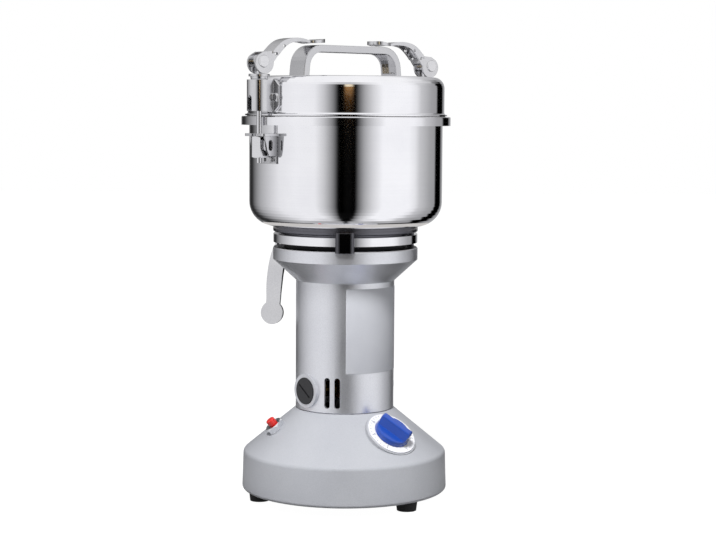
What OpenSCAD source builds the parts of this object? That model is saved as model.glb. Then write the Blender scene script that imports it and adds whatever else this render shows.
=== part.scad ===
// Electric grain mill with a clamped steel bowl on a motor column and a conical base
// Millimetres, +Z up, origin on the motor axis at floor level, front towards -Y

/* [Base] */
// Radius of the base skirt at its lower edge
skirt_r = 95; // [92:0.5:100]
// Height of the skirt's lower edge above the floor
skirt_z = 9.1; // [6:0.1:12]
// Height of the skirt, up to its crease
skirt_h = 35.4; // [31:0.2:39]
// Height of the cone between the crease and the column
cone_h = 40.1; // [36:0.1:46]
// Wall of the cast base
base_wall = 3; // [2.4:0.1:4]
// Thickness of the base cover plate
plate_t = 2.5; // [1.5:0.1:4]
// Radius of the rubber feet at the top
foot_r = 10.2; // [8:0.1:10.3]
// Distance of the feet's middle from the skirt's outside
foot_in = 14.5; // [14:0.1:18]
// Radius of the cord inlet in the back of the skirt
inlet_r = 6; // [4:0.5:7]

/* [Motor column] */
// Radius of the column
column_r = 45.5; // [44:0.5:47]
// Wall of the column
column_wall = 3; // [2.4:0.1:4]
// Height of the column, up to the cone under the flange
column_h = 118.7; // [114:0.1:124]
// Reach of the flange over the column
flange_out = 21.2; // [18.5:0.1:23]
// Height of the cone under the flange
flange_cone_h = 19.5; // [17:0.1:22]
// Height of the flange's edge
flange_h = 11.3; // [10:0.1:13]
// Radius of the flat round pad round each brush cap
brush_pad_r = 15.8; // [14:0.1:17]
// Reach of the brush pad's face over the column
brush_pad_out = 1.4; // [1:0.1:2.5]
// Height of the brush axis above the column's foot
brush_up = 19; // [18:0.1:22]
// Radius of the brush cap
brush_cap_r = 12.1; // [10:0.1:13]
// Azimuth of the near brush, from the front towards the right
brush_az = -50; // [-60:1:-45]
// Width of a vent slot
vent_w = 5.2; // [4:0.1:6]
// Height of a vent slot
vent_h = 28; // [20:0.5:34]

/* [Lock band and adapter] */
// Gap between the flange and the lock band
band_up = 4.4; // [4:0.1:5]
// Height of the lock band
band_h = 7.7; // [6.5:0.1:8.5]
// Gap between the lock band and the adapter's rim
adapter_up = 1.9; // [1.5:0.1:2.5]
// Height of the adapter's rim
adapter_h = 5.7; // [5:0.1:9]
// Azimuth of the band lever
band_az = -124; // [-128:1:-120]
// Length of the band lever from pin to tip
band_lever_len = 86; // [80:1:90]

/* [Bowl and lid] */
// Outer radius of the bowl
bowl_r = 88.6; // [87:0.1:90]
// Height of the bowl
bowl_h = 99.7; // [90:0.1:110]
// Sheet thickness of bowl and lid
sheet_t = 1.5; // [1:0.1:2]
// Radius of the bowl's lower corner
bowl_corner = 22; // [16:0.5:28]
// Reach of the rim over the bowl's wall
rim_out = 7.2; // [6:0.1:7.4]
// Height of the rim's band
rim_h = 7.9; // [6:0.1:9]
// Thickness of the gasket between rim and lid
gasket_t = 0.6; // [0.5:0.1:1.5]
// Reach of the lid's wall over the bowl's wall
lid_out = 1.4; // [1:0.1:1.6]
// Height of the lid
lid_h = 35.3; // [30:0.1:40]
// Radius of the lid's upper corner
lid_corner = 10; // [6:0.5:12]
// Height of the handle above the lid
handle_h = 28; // [26:0.1:28.4]
// Length of the handle at its feet
handle_len = 116; // [105:1:120]
// Width of the handle strap
handle_w = 21.6; // [18:0.2:24]
// Depth of the handle's channel section
handle_t = 6.2; // [5:0.1:7]

/* [Clamps] */
// Distance of the clamp rods from the bowl's wall
clamp_out = 10.6; // [10.4:0.1:11.5]
// Azimuth of the near clamp
clamp_az = -50; // [-60:1:-40]
// Radius of the cam from the pin to the collar, closed
cam_r = 10.85; // [10.6:0.05:11.5]
// Radius of the pull rod
rod_r = 2.45; // [2:0.05:2.6]
// Lift of the cam between open and closed
cam_lift = 3.5; // [3:0.1:4]
// Swing of the cam lever
lever_swing = 150; // [120:5:150]
// Width of the lever strap
lever_w = 15; // [13:0.5:16]
// Length of the lever from pin to tip
lever_len = 71; // [66:1:74]
// Radius of the lever's disc tip
lever_disc_r = 11; // [9:0.5:12]
// Half width of the catch bracket's top plate
catch_half = 14.5; // [12.5:0.5:16]
// Half width of the catch bracket over its cheeks
cheek_half = 11.5; // [11:0.1:12]

/* [Controls] */
// Place of the dial's centre on the cone, as a share of the way out from the column
dial_share = 0.414; // [0.4:0.005:0.44]
// Azimuth of the dial
dial_az = 40; // [30:1:45]
// Radius of the dial plate
dial_r = 23; // [20:0.5:24]
// Radius of the timer knob
knob_r = 16.8; // [14:0.1:18]
// Height of the timer knob's grip above the dial
knob_h = 13; // [10:0.5:15]
// Azimuth of the reset button
reset_az = -70; // [-75:1:-65]
// Radius of the reset button
reset_r = 4.2; // [3.5:0.1:4.6]
// Travel of the reset button
reset_travel = 2; // [1:0.1:2.4]

/* [Hidden] */
$fn = 96;
fit = 0.05; // running clearance round pins and shafts
seat = 0.05; // gap where one piece rests on another
press = 0.01; // gap round a pressed or threaded piece
clear = 0.4; // open clearance
wall_gap = 0.3; // gap between curved walls of two pieces
over = 1; // overrun of cuts
edge = 1; // small edge radius or chamfer
arc_n = 8; // steps of a profile's corner arc

// Heights and radii that follow from the sizes above
crease_z = skirt_z + skirt_h;
base_top_z = crease_z + cone_h;
foot_at_r = skirt_r - foot_in;
column_top_z = base_top_z + column_h;
flange_r = column_r + flange_out;
flange_low_z = column_top_z + flange_cone_h;
flange_top_z = flange_low_z + flange_h;
brush_z = base_top_z + brush_up;
brush_pad_y = column_r + brush_pad_out;
band_low_z = flange_top_z + band_up;
band_top_z = band_low_z + band_h;
adapter_z = band_top_z + adapter_up;
bowl_z = adapter_z + adapter_h;
rim_r = bowl_r + rim_out;
rim_top_z = bowl_z + bowl_h;
rim_low_z = rim_top_z - rim_h;
lid_r = bowl_r + lid_out;
lid_low_z = rim_top_z + gasket_t + 2 * seat;
lid_top_z = lid_low_z + lid_h;
clamp_at_r = bowl_r + clamp_out;
dial_at_r = column_r + dial_share * (skirt_r - column_r);

// Corner arc with centre c, radius r, from angle a0 to a1
function arc(c, r, a0, a1, n = arc_n) =
    [for (i = [0:n]) let (a = a0 + (a1 - a0) * i / n) [c[0] + r * cos(a), c[1] + r * sin(a)]];

// Smooth curve through a list of points, k steps for each stretch
function spline(p, k = 4) = [for (i = [0:len(p) - 2]) for (j = [0:k - 1])
    let (t = j / k, a = p[max(i - 1, 0)], b = p[i], c = p[i + 1], d = p[min(i + 2, len(p) - 1)])
    ((2 * b) + (c - a) * t + (2 * a - 5 * b + 4 * c - d) * t * t + (3 * b - a - 3 * c + d) * t * t * t) / 2,
    p[len(p) - 1]];

function reversed(p) = [for (i = [len(p) - 1:-1:0]) p[i]];

// Side profile in the radial plane, drawn with x towards the axis and y up, extruded across by w
module across(w) rotate([90, 0, 90]) linear_extrude(w, center = true) children();

// Piece drawn at the front, turned to azimuth a
module at_azimuth(a) rotate([0, 0, a]) children();

// Ring with outer radius ro and inner radius ri, from z0 to z1
module ring(ro, ri, z0, z1) translate([0, 0, z0]) difference() {
    cylinder(h = z1 - z0, r = ro);
    translate([0, 0, -over]) cylinder(h = z1 - z0 + 2 * over, r = ri);
}

// Radial cylinder from distance y0 to y1 at height z
module radial(r, y0, y1, z) translate([0, -y0, z]) rotate([90, 0, 0]) cylinder(h = y1 - y0, r = r);

// Base: cone slope and a frame on the cone's surface
skirt_top_r = skirt_r - 1;
cone_angle = atan2(base_top_z - crease_z, skirt_top_r - column_r);
function cone_z(r) = base_top_z - (r - column_r) * tan(cone_angle);

// Children drawn with z along the cone's normal, at distance r and azimuth a
module on_cone(r, a) at_azimuth(a) translate([0, -r, cone_z(r)]) rotate([cone_angle, 0, 0]) children();

skirt_round = 3;
crease_round = 5;
foot_azimuths = [45, -75, 165];
foot_boss_r = 6;
foot_boss_h = 18;
foot_bottom_r = 8.8;
foot_screw_r = 2;
foot_screw_head_r = 4.4;
foot_screw_head_t = 2.4;
foot_recess = 3;
plate_z = skirt_z + 2;
control_plate_r = 24.5;
control_pad = 0.6;
pad_depth = 5;
control_bore_r = 5.5;

module base_outline(inset) {
    r0 = skirt_r - inset;
    r1 = skirt_top_r - inset;
    round_r = crease_round - inset;
    slope_inset = inset / sin(cone_angle);
    zc = base_top_z - (r1 - column_r + slope_inset) * tan(cone_angle);
    polygon(concat([[0, skirt_z]],
        arc([r0 - skirt_round, skirt_z + skirt_round], skirt_round, -90, 0),
        arc([r1 - round_r, zc - round_r * tan((90 - cone_angle) / 2)], round_r, 0, 90 - cone_angle),
        [[column_r - slope_inset, base_top_z], [0, base_top_z]]));
}

module base_shell() color("silver") difference() {
    union() {
        difference() {
            rotate_extrude() base_outline(0);
            difference() {
                rotate_extrude() difference() {
                    base_outline(base_wall);
                    translate([0, base_top_z - base_wall]) square([skirt_r, base_wall * 2]);
                }
                for (a = foot_azimuths) at_azimuth(a) translate([0, 0, plate_z + plate_t]) {
                    translate([0, -foot_at_r, 0]) cylinder(h = foot_boss_h, r = foot_boss_r);
                    translate([-base_wall / 2, -skirt_r, 0]) cube([base_wall, foot_in, foot_boss_h]);
                }
            }
            translate([0, 0, skirt_z - over]) cylinder(h = plate_z - skirt_z + plate_t + over,
                r = skirt_r - base_wall);
            translate([0, 0, base_top_z - base_wall - over])
                cylinder(h = base_wall + 2 * over, r = column_r - column_wall);
        }
        on_cone(dial_at_r, dial_az) translate([0, 0, -pad_depth])
            cylinder(h = pad_depth + control_pad, r = control_plate_r);
        on_cone(dial_at_r, reset_az) translate([0, 0, -pad_depth])
            cylinder(h = pad_depth + control_pad, r = bezel_r);
    }
    for (a = foot_azimuths) at_azimuth(a) translate([0, -foot_at_r, plate_z])
        cylinder(h = foot_screw_len, r = foot_screw_r + fit);
    for (a = [dial_az, reset_az]) on_cone(dial_at_r, a) translate([0, 0, -base_wall * 2])
        cylinder(h = base_wall * 4, r = control_bore_r);
    radial(inlet_r, -skirt_r - over, -skirt_r + base_wall * 2, inlet_z);
}

inlet_z = 27;
grommet_flange_r = inlet_r + 2.5;
grommet_flange_t = 1;
grommet_bore_r = inlet_r - 2;

module cord_grommet() color("#202020") difference() {
    union() {
        radial(inlet_r - seat, -skirt_r - grommet_flange_t, -skirt_r + base_wall + grommet_flange_t, inlet_z);
        radial(grommet_flange_r, -skirt_r - grommet_flange_t, -skirt_r - seat, inlet_z);
    }
    radial(grommet_bore_r, -skirt_r - grommet_flange_t - over, -skirt_r + base_wall * 3, inlet_z);
}

module base_plate() color("dimgray") difference() {
    translate([0, 0, plate_z]) cylinder(h = plate_t - seat, r = skirt_r - base_wall - clear);
    for (a = foot_azimuths) at_azimuth(a) translate([0, -foot_at_r, 0])
        cylinder(h = base_top_z, r = foot_screw_r + fit);
}

module rubber_feet() color("#181818") for (a = foot_azimuths) at_azimuth(a) translate([0, -foot_at_r, 0])
    difference() {
        cylinder(h = plate_z - seat, r1 = foot_bottom_r, r2 = foot_r);
        translate([0, 0, -over]) cylinder(h = plate_z + 2 * over, r = foot_screw_r + fit);
        translate([0, 0, -over])
            cylinder(h = foot_recess + foot_screw_head_t + over, r = foot_screw_head_r + clear);
    }

foot_screw_len = 14;
module foot_screws() color("lightgray") for (a = foot_azimuths) at_azimuth(a)
    translate([0, -foot_at_r, foot_recess]) {
        cylinder(h = foot_screw_head_t - seat, r = foot_screw_head_r);
        cylinder(h = plate_z - foot_recess + foot_screw_len - over, r = foot_screw_r);
    }

// Motor housing
deck_t = 3;
deck_bore_r = 16;
spigot_h = base_wall;
neck_r = flange_r - 9.7;
lip_r = flange_r - 3.7;
lip_t = 1.9;
band_lip_t = 1.6;
mid_z = (band_low_z + band_top_z) / 2;
vent_steps = [30, 42];
brush_bore_r = 7;
brush_thread_r = 8.5;

module vent(a) at_azimuth(a) {
    y = column_r - 2 * column_wall;
    for (z = [-1, 1]) radial(vent_w / 2, y, column_r + over * 3, brush_z + z * (vent_h - vent_w) / 2);
    translate([-vent_w / 2, -column_r - over * 3, brush_z - (vent_h - vent_w) / 2])
        cube([vent_w, 2 * column_wall + over * 3, vent_h - vent_w]);
}

module motor_housing() color("silver") difference() {
    union() {
        rotate_extrude() polygon([
            [column_r - column_wall - clear, base_top_z - spigot_h],
            [column_r - column_wall - clear, base_top_z + seat],
            [column_r - edge, base_top_z + seat], [column_r, base_top_z + edge],
            [column_r, column_top_z], [flange_r, flange_low_z], [flange_r, flange_top_z - edge],
            [flange_r - edge, flange_top_z], [neck_r, flange_top_z],
            [neck_r, mid_z - lip_t], [lip_r, mid_z - lip_t], [lip_r, mid_z - seat],
            [deck_bore_r, mid_z - seat], [deck_bore_r, flange_top_z - deck_t * 2],
            [column_r - column_wall, flange_top_z - deck_t * 2],
            [column_r - column_wall, base_top_z + deck_t],
            [column_r - column_wall - clear - deck_t, base_top_z],
            [column_r - column_wall - clear - deck_t, base_top_z - spigot_h]]);
        for (s = [0, 180]) at_azimuth(brush_az + s)
            radial(brush_pad_r, column_r - 2 * column_wall, brush_pad_y, brush_z);
    }
    for (s = [0, 180]) at_azimuth(brush_az + s) {
        radial(brush_thread_r, column_r - column_wall * 3, brush_pad_y + over, brush_z);
        radial(brush_cap_r + clear / 2, brush_pad_y - brush_cap_sink, brush_pad_y + over, brush_z);
    }
    for (s = [0, 180], d = vent_steps, side = [-1, 1]) vent(brush_az + s + side * d);
}

brush_cap_sink = 1.2;
brush_cap_t = 2;
brush_slot_w = 1.8;
module brush_caps() color("#181818") for (s = [0, 180]) at_azimuth(brush_az + s) difference() {
    union() {
        radial(brush_cap_r, brush_pad_y - brush_cap_sink + seat, brush_pad_y - brush_cap_sink + brush_cap_t,
            brush_z);
        radial(brush_thread_r - seat, column_r - column_wall, brush_pad_y - brush_cap_sink + over, brush_z);
    }
    translate([0, -brush_pad_y - brush_cap_t + brush_cap_sink, brush_z]) rotate([0, 35, 0])
        cube([brush_cap_r * 1.5, brush_cap_t, brush_slot_w], center = true);
}

commutator_r = 13;
brush_w = 6;
brush_len = 12;
holder_r = brush_bore_r;
module brush_holders() color("goldenrod") for (s = [0, 180]) at_azimuth(brush_az + s) difference() {
    radial(holder_r, commutator_r + 2 * edge, column_r - column_wall - seat, brush_z);
    radial(brush_hole_r, commutator_r, column_r, brush_z);
}

brush_hole_r = 5;
module carbon_brushes() color("#303030") for (s = [0, 180]) at_azimuth(brush_az + s)
    radial(brush_hole_r - fit, commutator_r + clear, commutator_r + brush_len, brush_z);

spring_wire_r = 0.6;
spring_turns = 5;
spring_r = brush_hole_r - 2 * spring_wire_r;
module coil(r, wire, height, turns, steps = 12, sides = 6) {
    n = turns * steps;
    points = [for (i = [0:n], j = [0:sides - 1])
        let (a = 360 * i / steps, b = 360 * j / sides, q = r + wire * cos(b))
        [q * cos(a), q * sin(a), height * i / n + wire * sin(b)]];
    polyhedron(points, concat([[for (j = [0:sides - 1]) j]], [[for (j = [sides - 1:-1:0]) n * sides + j]],
        [for (i = [0:n - 1], j = [0:sides - 1]) let (k = (j + 1) % sides)
            [i * sides + j, (i + 1) * sides + j, (i + 1) * sides + k]],
        [for (i = [0:n - 1], j = [0:sides - 1]) let (k = (j + 1) % sides)
            [i * sides + j, (i + 1) * sides + k, i * sides + k]]));
}

module brush_springs() color("gray") for (s = [0, 180]) at_azimuth(brush_az + s)
    translate([0, -commutator_r - brush_len - spring_wire_r - seat, brush_z]) rotate([90, 0, 0])
        coil(spring_r, spring_wire_r,
            column_r - column_wall - commutator_r - brush_len - 2 * (spring_wire_r + seat), spring_turns);

// Motor
stator_r = column_r - column_wall - clear;
stator_up = 28.4;
stator_h = 40;
stator_low_z = brush_z + stator_up;
stator_high_z = stator_low_z + stator_h;
armature_r = 22;
air_gap = 0.6;
shaft_r = 5;
winding_h = 13;
pole_half = 52;

yoke_t = 6;
module pole_shoe() rotate([0, 0, -90 - pole_half]) rotate_extrude(angle = 2 * pole_half) polygon([
    [armature_r + air_gap, stator_low_z], [stator_r - yoke_t - seat, stator_low_z],
    [stator_r - yoke_t - seat, stator_high_z], [armature_r + air_gap, stator_high_z]]);

module stator_core() color("#606468") {
    ring(stator_r, stator_r - yoke_t, stator_low_z, stator_high_z);
    for (s = [0, 180]) at_azimuth(brush_az + 90 + s) pole_shoe();
}

module stator_windings() color("#b06a32") for (z = [stator_low_z - winding_h / 2, stator_high_z + winding_h / 2])
    for (s = [0, 180]) at_azimuth(brush_az + 90 + s) translate([0, 0, z]) rotate([0, 0, -90 - pole_half])
        rotate_extrude(angle = 2 * pole_half) translate([(stator_r + armature_r) / 2, 0])
            polygon([for (q = arc([0, 0], 1, 0, 337.5, 15))
                [q[0] * (stator_r - armature_r) / 3, q[1] * (winding_h / 2 - clear)]]);

bearing_r = 11;
bearing_h = 8;
bearing_wall = 3;
race_t = 2;
bracket_z = base_top_z + bearing_h;
module lower_bearing_bracket() color("#a0a4a8") {
    ring(bearing_r + bearing_wall, bearing_r + fit, bracket_z - bearing_h, bracket_z);
    at_azimuth(brush_az) difference() {
        translate([-stator_r + seat, -bearing_r / 2, bracket_z - bearing_h / 2])
            cube([2 * (stator_r - seat), bearing_r, bearing_h / 2]);
        translate([0, 0, bracket_z - bearing_h]) cylinder(h = 2 * bearing_h, r = bearing_r + bearing_wall / 2);
    }
}

module bearing(z) color("lightsteelblue") {
    ring(bearing_r, bearing_r - race_t, z - bearing_h, z);
    ring(bearing_r - race_t + seat, shaft_r + race_t, z - bearing_h + edge, z - edge);
    ring(shaft_r + race_t + seat, shaft_r + fit, z - bearing_h, z);
}
module lower_bearing() bearing(bracket_z);

seal_z = bowl_z + sheet_t;
upper_bearing_z = mid_z - edge;
upper_race_t = 3;
module upper_bearing() color("lightsteelblue") {
    ring(deck_bore_r - fit, deck_bore_r - upper_race_t, upper_bearing_z - bearing_h, upper_bearing_z);
    ring(deck_bore_r - upper_race_t + seat, shaft_r + upper_race_t, upper_bearing_z - bearing_h + edge,
        upper_bearing_z - edge);
    ring(shaft_r + upper_race_t + seat, shaft_r + fit, upper_bearing_z - bearing_h, upper_bearing_z);
}

blade_up = 14.2; // height of the lowest blade above the bowl's underside
blade_stack_h = 38; // length of the shaft from there to its top
blade_z = bowl_z + blade_up;
shaft_tail = 3;
shaft_centre_r = 1;
shaft_low_z = bracket_z - bearing_h - shaft_tail;
shaft_top_z = blade_z + blade_stack_h;
hub_r = 9;
module motor_shaft() color("#c8ccd0") difference() {
    union() {
        translate([0, 0, shaft_low_z]) cylinder(h = shaft_top_z - shaft_low_z, r = shaft_r);
        translate([0, 0, bracket_z + seat]) cylinder(h = edge, r = shaft_r + race_t);
        translate([0, 0, seal_z + seal_h + seat]) cylinder(h = blade_z - seal_z - seal_h - seat, r = hub_r);
    }
    translate([0, 0, shaft_low_z - over]) cylinder(h = shaft_tail, r = shaft_centre_r);
}

armature_slot_w = 2.4;
armature_slot_d = 7;
end_turn_h = 11;
end_turn_r = [15, 19, 13]; // radii at the lower end, beside the core and at the upper end
module armature_core() color("#54585c") difference() {
    translate([0, 0, stator_low_z]) cylinder(h = stator_high_z - stator_low_z, r = armature_r);
    translate([0, 0, stator_low_z - over]) cylinder(h = 2 * stator_high_z, r = shaft_r + fit / 2);
    for (i = [0:11]) rotate([0, 0, i * 30])
        translate([-armature_slot_w / 2, -armature_r - over, stator_low_z - over])
            cube([armature_slot_w, armature_slot_d + over, stator_high_z]);
}

module armature_windings() color("#b87333") difference() {
    union() {
        translate([0, 0, stator_low_z - end_turn_h])
            cylinder(h = end_turn_h, r1 = end_turn_r[0], r2 = end_turn_r[1]);
        translate([0, 0, stator_high_z]) cylinder(h = end_turn_h, r1 = end_turn_r[1], r2 = end_turn_r[2]);
    }
    translate([0, 0, stator_low_z - end_turn_h - over])
        cylinder(h = stator_h + 2 * (end_turn_h + over), r = shaft_r + fit / 2);
}

commutator_down = 9; // depth of the commutator below the brush axis
segment_gap = 0.7;
segment_d = 1.5;
module commutator() color("peru") difference() {
    translate([0, 0, brush_z - commutator_down])
        cylinder(h = stator_up - end_turn_h + commutator_down - seat, r = commutator_r);
    translate([0, 0, brush_z - commutator_down - over]) cylinder(h = stator_low_z, r = shaft_r + fit / 2);
    for (i = [0:17]) rotate([0, 0, i * 20])
        translate([-segment_gap / 2, -commutator_r - over, brush_z - commutator_down - over])
            cube([segment_gap, over + segment_d, 2 * commutator_down]);
}

fan_r = 36;
fan_z = stator_high_z + 18;
fan_h = 16;
fan_hub_r = 9;
fan_disc_t = 2;
fan_vane_t = 1.6;
fan_vane_r = 24;
fan_vane_at = [20, -22];
fan_sweep = [55, 118];
module cooling_fan() color("#d8d8d8") {
    ring(fan_hub_r, shaft_r + fit / 2, fan_z, fan_z + fan_h);
    ring(fan_r, fan_hub_r - edge, fan_z, fan_z + fan_disc_t);
    for (i = [0:8]) rotate([0, 0, i * 40]) translate([0, 0, fan_z + edge]) linear_extrude(fan_h - edge)
        polygon(concat(arc(fan_vane_at, fan_vane_r, fan_sweep[0], fan_sweep[1]),
            reversed(arc(fan_vane_at, fan_vane_r - fan_vane_t, fan_sweep[0], fan_sweep[1]))));
}

// Controls
bezel_r = 9.4;
bezel_t = 5;
timer_body_r = 20;
timer_body_h = 20;
timer_shaft_r = 3;
dial_t = 1;
knob_base_h = 5;
knob_round = 1.6;
knob_grip_w = 7.5;
knob_grip_round = 2;
knob_grip_foot = 3; // spread of the grip at its foot, each side
timer_drop = pad_depth + clear;
knob_stem = 7;
knob_turn = 30;

module timer_body() color("#e8e8e0") on_cone(dial_at_r, dial_az) {
    translate([0, 0, -timer_body_h - timer_drop]) cylinder(h = timer_body_h, r = timer_body_r);
    difference() {
        translate([0, 0, -timer_drop - edge])
            cylinder(h = timer_drop + edge + control_pad + dial_t, r = control_bore_r - fit);
        translate([0, 0, control_pad + dial_t - knob_stem - clear])
            cylinder(h = 2 * knob_stem, r = timer_shaft_r + fit);
    }
}

module timer_dial() color("white") on_cone(dial_at_r, dial_az) translate([0, 0, control_pad]) difference() {
    cylinder(h = dial_t, r = dial_r);
    translate([0, 0, -over]) cylinder(h = dial_t + 2 * over, r = control_bore_r);
}

module timer_knob() color("#1c46b8") on_cone(dial_at_r, dial_az) translate([0, 0, control_pad + dial_t + clear])
    rotate([0, 0, knob_turn]) {
        translate([0, 0, -knob_stem]) cylinder(h = knob_stem + edge, r = timer_shaft_r);
        rotate_extrude() polygon(concat([[0, 0], [knob_r, 0]],
            arc([knob_r - 1.4 * knob_round, knob_base_h - knob_round], knob_round, 0, 90), [[0, knob_base_h]]));
        intersection() {
            translate([0, 0, knob_base_h - edge]) rotate_extrude() polygon(concat([[0, 0], [knob_r - edge, 0]],
                arc([knob_r - edge * 4, knob_h - knob_base_h - edge * 2], edge * 3, 0, 90),
                [[0, knob_h - knob_base_h + edge]]));
            rotate([90, 0, 0]) linear_extrude(2 * knob_r, center = true) polygon(concat(
                [[-knob_grip_w / 2 - knob_grip_foot, knob_base_h - edge]],
                arc([knob_grip_round - knob_grip_w / 2, knob_h - knob_grip_round], knob_grip_round, 180, 90, 4),
                arc([knob_grip_w / 2 - knob_grip_round, knob_h - knob_grip_round], knob_grip_round, 90, 0, 4),
                [[knob_grip_w / 2 + knob_grip_foot, knob_base_h - edge]]));
        }
    }

protector_size = [14, 30, 22];
button_depth = 8; // depth of the button's bore below the base's wall
module overload_protector() color("#303030") on_cone(dial_at_r, reset_az) {
    difference() {
        union() {
            translate([-protector_size[0] / 2, -protector_size[1] / 2, -pad_depth - seat - protector_size[2]])
                cube(protector_size);
            translate([0, 0, -pad_depth - seat - edge])
                cylinder(h = pad_depth + bezel_t + edge, r = control_bore_r - seat);
        }
        translate([0, 0, -base_wall - button_depth])
            cylinder(h = base_wall + button_depth + 2 * bezel_t, r = reset_r + fit);
    }
}

module reset_bezel() color("#d0d4d8") on_cone(dial_at_r, reset_az) translate([0, 0, control_pad + seat])
    difference() {
        intersection() {
            cylinder(h = bezel_t, r = bezel_r, $fn = 6);
            cylinder(h = bezel_t, r1 = bezel_r + edge * 3, r2 = bezel_r - edge * 1.4);
        }
        translate([0, 0, -over]) cylinder(h = bezel_t + 2 * over, r = control_bore_r + fit);
    }

reset_out = 6;
module reset_button() color("#c81e1e") on_cone(dial_at_r, reset_az) rotate_extrude() polygon(concat(
    [[0, -base_wall - button_depth + reset_travel + clear],
        [reset_r, -base_wall - button_depth + reset_travel + clear]],
    arc([reset_r - edge, bezel_t + reset_out - edge], edge, 0, 90, 5), [[0, bezel_t + reset_out]]));

// Adapter and lock band
adapter_screw_at_r = 30;
adapter_screw_r = 2.5;
adapter_head_t = 2;
module bowl_adapter() color("#484c52") difference() {
    rotate_extrude() polygon([[deck_bore_r, mid_z + seat], [lip_r, mid_z + seat], [lip_r, mid_z + lip_t],
        [neck_r, mid_z + lip_t], [neck_r, adapter_z], [flange_r - edge, adapter_z], [flange_r, adapter_z + edge],
        [flange_r, bowl_z - seat], [deck_bore_r, bowl_z - seat]]);
    for (i = [0:3]) rotate([0, 0, 45 + i * 90]) translate([0, -adapter_screw_at_r, mid_z + lip_t])
        cylinder(h = bowl_z, r = adapter_screw_r + fit);
}

module adapter_screws() color("lightgray") for (i = [0:3]) rotate([0, 0, 45 + i * 90])
    translate([0, -adapter_screw_at_r, 0]) {
        translate([0, 0, mid_z + lip_t + over])
            cylinder(h = seal_z - mid_z - lip_t - over + seat, r = adapter_screw_r);
        translate([0, 0, seal_z + seat])
            cylinder(h = adapter_head_t, r1 = adapter_screw_r * 1.9, r2 = adapter_screw_r * 1.3);
    }

band_r = flange_r - wall_gap;
band_t = 2.4;
post_half = 8.8;
post_out = 4;
post_over = 3.4; // how far a post reaches over the adapter's rim
post_under = 1.2; // how far a post reaches over the flange's rim
end_under = 2.5; // how far a band's end lies under a post
block_az = band_az - 10;
end_angle = asin((post_half - end_under) / band_r);
band_stops = [0, 120, 360 + block_az, 360];

module band_section() translate([0, band_low_z]) polygon([[band_r, 0], [band_r, band_top_z - band_low_z],
    [lip_r - band_hook, band_top_z - band_low_z], [lip_r - band_hook, band_top_z - band_low_z - band_lip_t],
    [band_r - band_t, band_top_z - band_low_z - band_lip_t], [band_r - band_t, band_lip_t],
    [lip_r - band_hook, band_lip_t], [lip_r - band_hook, 0]]);
band_hook = 4;

module lock_band() color("#dfe3e6") for (i = [0:2])
    rotate([0, 0, band_stops[i] + end_angle - 90])
        rotate_extrude(angle = band_stops[i + 1] - band_stops[i] - 2 * end_angle) band_section();

// Part of a ring that lies between the ends of two band segments
gap_angle = end_angle - 0.1;
module between_ends(reach) linear_extrude(bowl_z) polygon([[0, 0], reach * [-sin(gap_angle), -cos(gap_angle)],
    reach * [sin(gap_angle), -cos(gap_angle)]]);

module band_post() {
    difference() {
        translate([-post_half, -flange_r - post_out, flange_top_z - post_under])
            linear_extrude(adapter_z + post_over - flange_top_z + post_under) polygon(concat(
                arc([2 * post_half - post_out, post_out], post_out, 0, -90, 5),
                arc([post_out, post_out], post_out, -90, -180, 5)));
        translate([0, 0, skirt_z]) cylinder(h = bowl_z, r = flange_r - seat);
        difference() {
            translate([0, 0, skirt_z]) cylinder(h = bowl_z, r = flange_r + clear);
            translate([0, 0, band_low_z]) cylinder(h = band_top_z - band_low_z, r = 2 * flange_r);
        }
    }
    intersection() {
        ring(flange_r, lip_r + clear, band_low_z, band_top_z);
        between_ends(2 * flange_r);
    }
}
module band_posts() color("#70747a") for (a = [0, 120]) at_azimuth(a) band_post();

band_pivot_r = flange_r + 13.3;
band_twist = 27; // turn of the lever's pin away from the radius
band_lean = 5; // lean of the hanging lever, tip outwards
band_ear_r = 8;
pin_r = 2.5;
eye_r = 5.5;
eye_half = 4.6;
ear_in = 4.8;
ear_t = 1.8;
pin_head_r = 5.6;
pin_head_t = 1.3;
arm_x = 12.4;
arm_w = 4.6;

// Children drawn with the pin along X at the origin, the lever along +Y and its top towards +Z
module at_band_pivot() at_azimuth(block_az) translate([0, -band_pivot_r, (band_low_z + band_top_z) / 2])
    rotate([0, 0, band_twist]) rotate([-band_lean, 0, 0]) rotate([-90, 0, -90]) children();

block_plate_t = 1.3;
block_plate_x = 6.2;
module band_lever_block() color("#70747a") {
    difference() {
        union() {
            at_band_pivot() rotate([0, 90, 0]) cylinder(h = 2 * eye_half, r = eye_r, center = true);
            at_band_pivot() translate([-eye_half, -eye_r * 0.6, -arm_x - arm_w])
                cube([2 * eye_half, eye_r * 1.2, arm_x + arm_w]);
            at_azimuth(block_az) translate([-arm_x - arm_w, -band_pivot_r - eye_r, band_low_z + edge])
                cube([arm_w, band_pivot_r - band_r + eye_r + 2 * over, band_top_z - band_low_z - 2 * edge]);
            intersection() {
                ring(band_r + block_plate_t, band_r, band_low_z, band_top_z);
                at_azimuth(block_az) translate([-arm_x - arm_w, -2 * band_r, band_low_z])
                    cube([arm_x + arm_w + block_plate_x, 2 * band_r, band_top_z - band_low_z]);
            }
        }
        at_band_pivot() rotate([0, 90, 0]) cylinder(h = 4 * eye_half, r = pin_r + fit, center = true);
        translate([0, 0, skirt_z]) cylinder(h = bowl_z, r = band_r + seat);
    }
    intersection() {
        ring(band_r + block_plate_t, lip_r + clear, band_low_z, band_top_z);
        at_azimuth(block_az) between_ends(2 * flange_r);
    }
}

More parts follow.
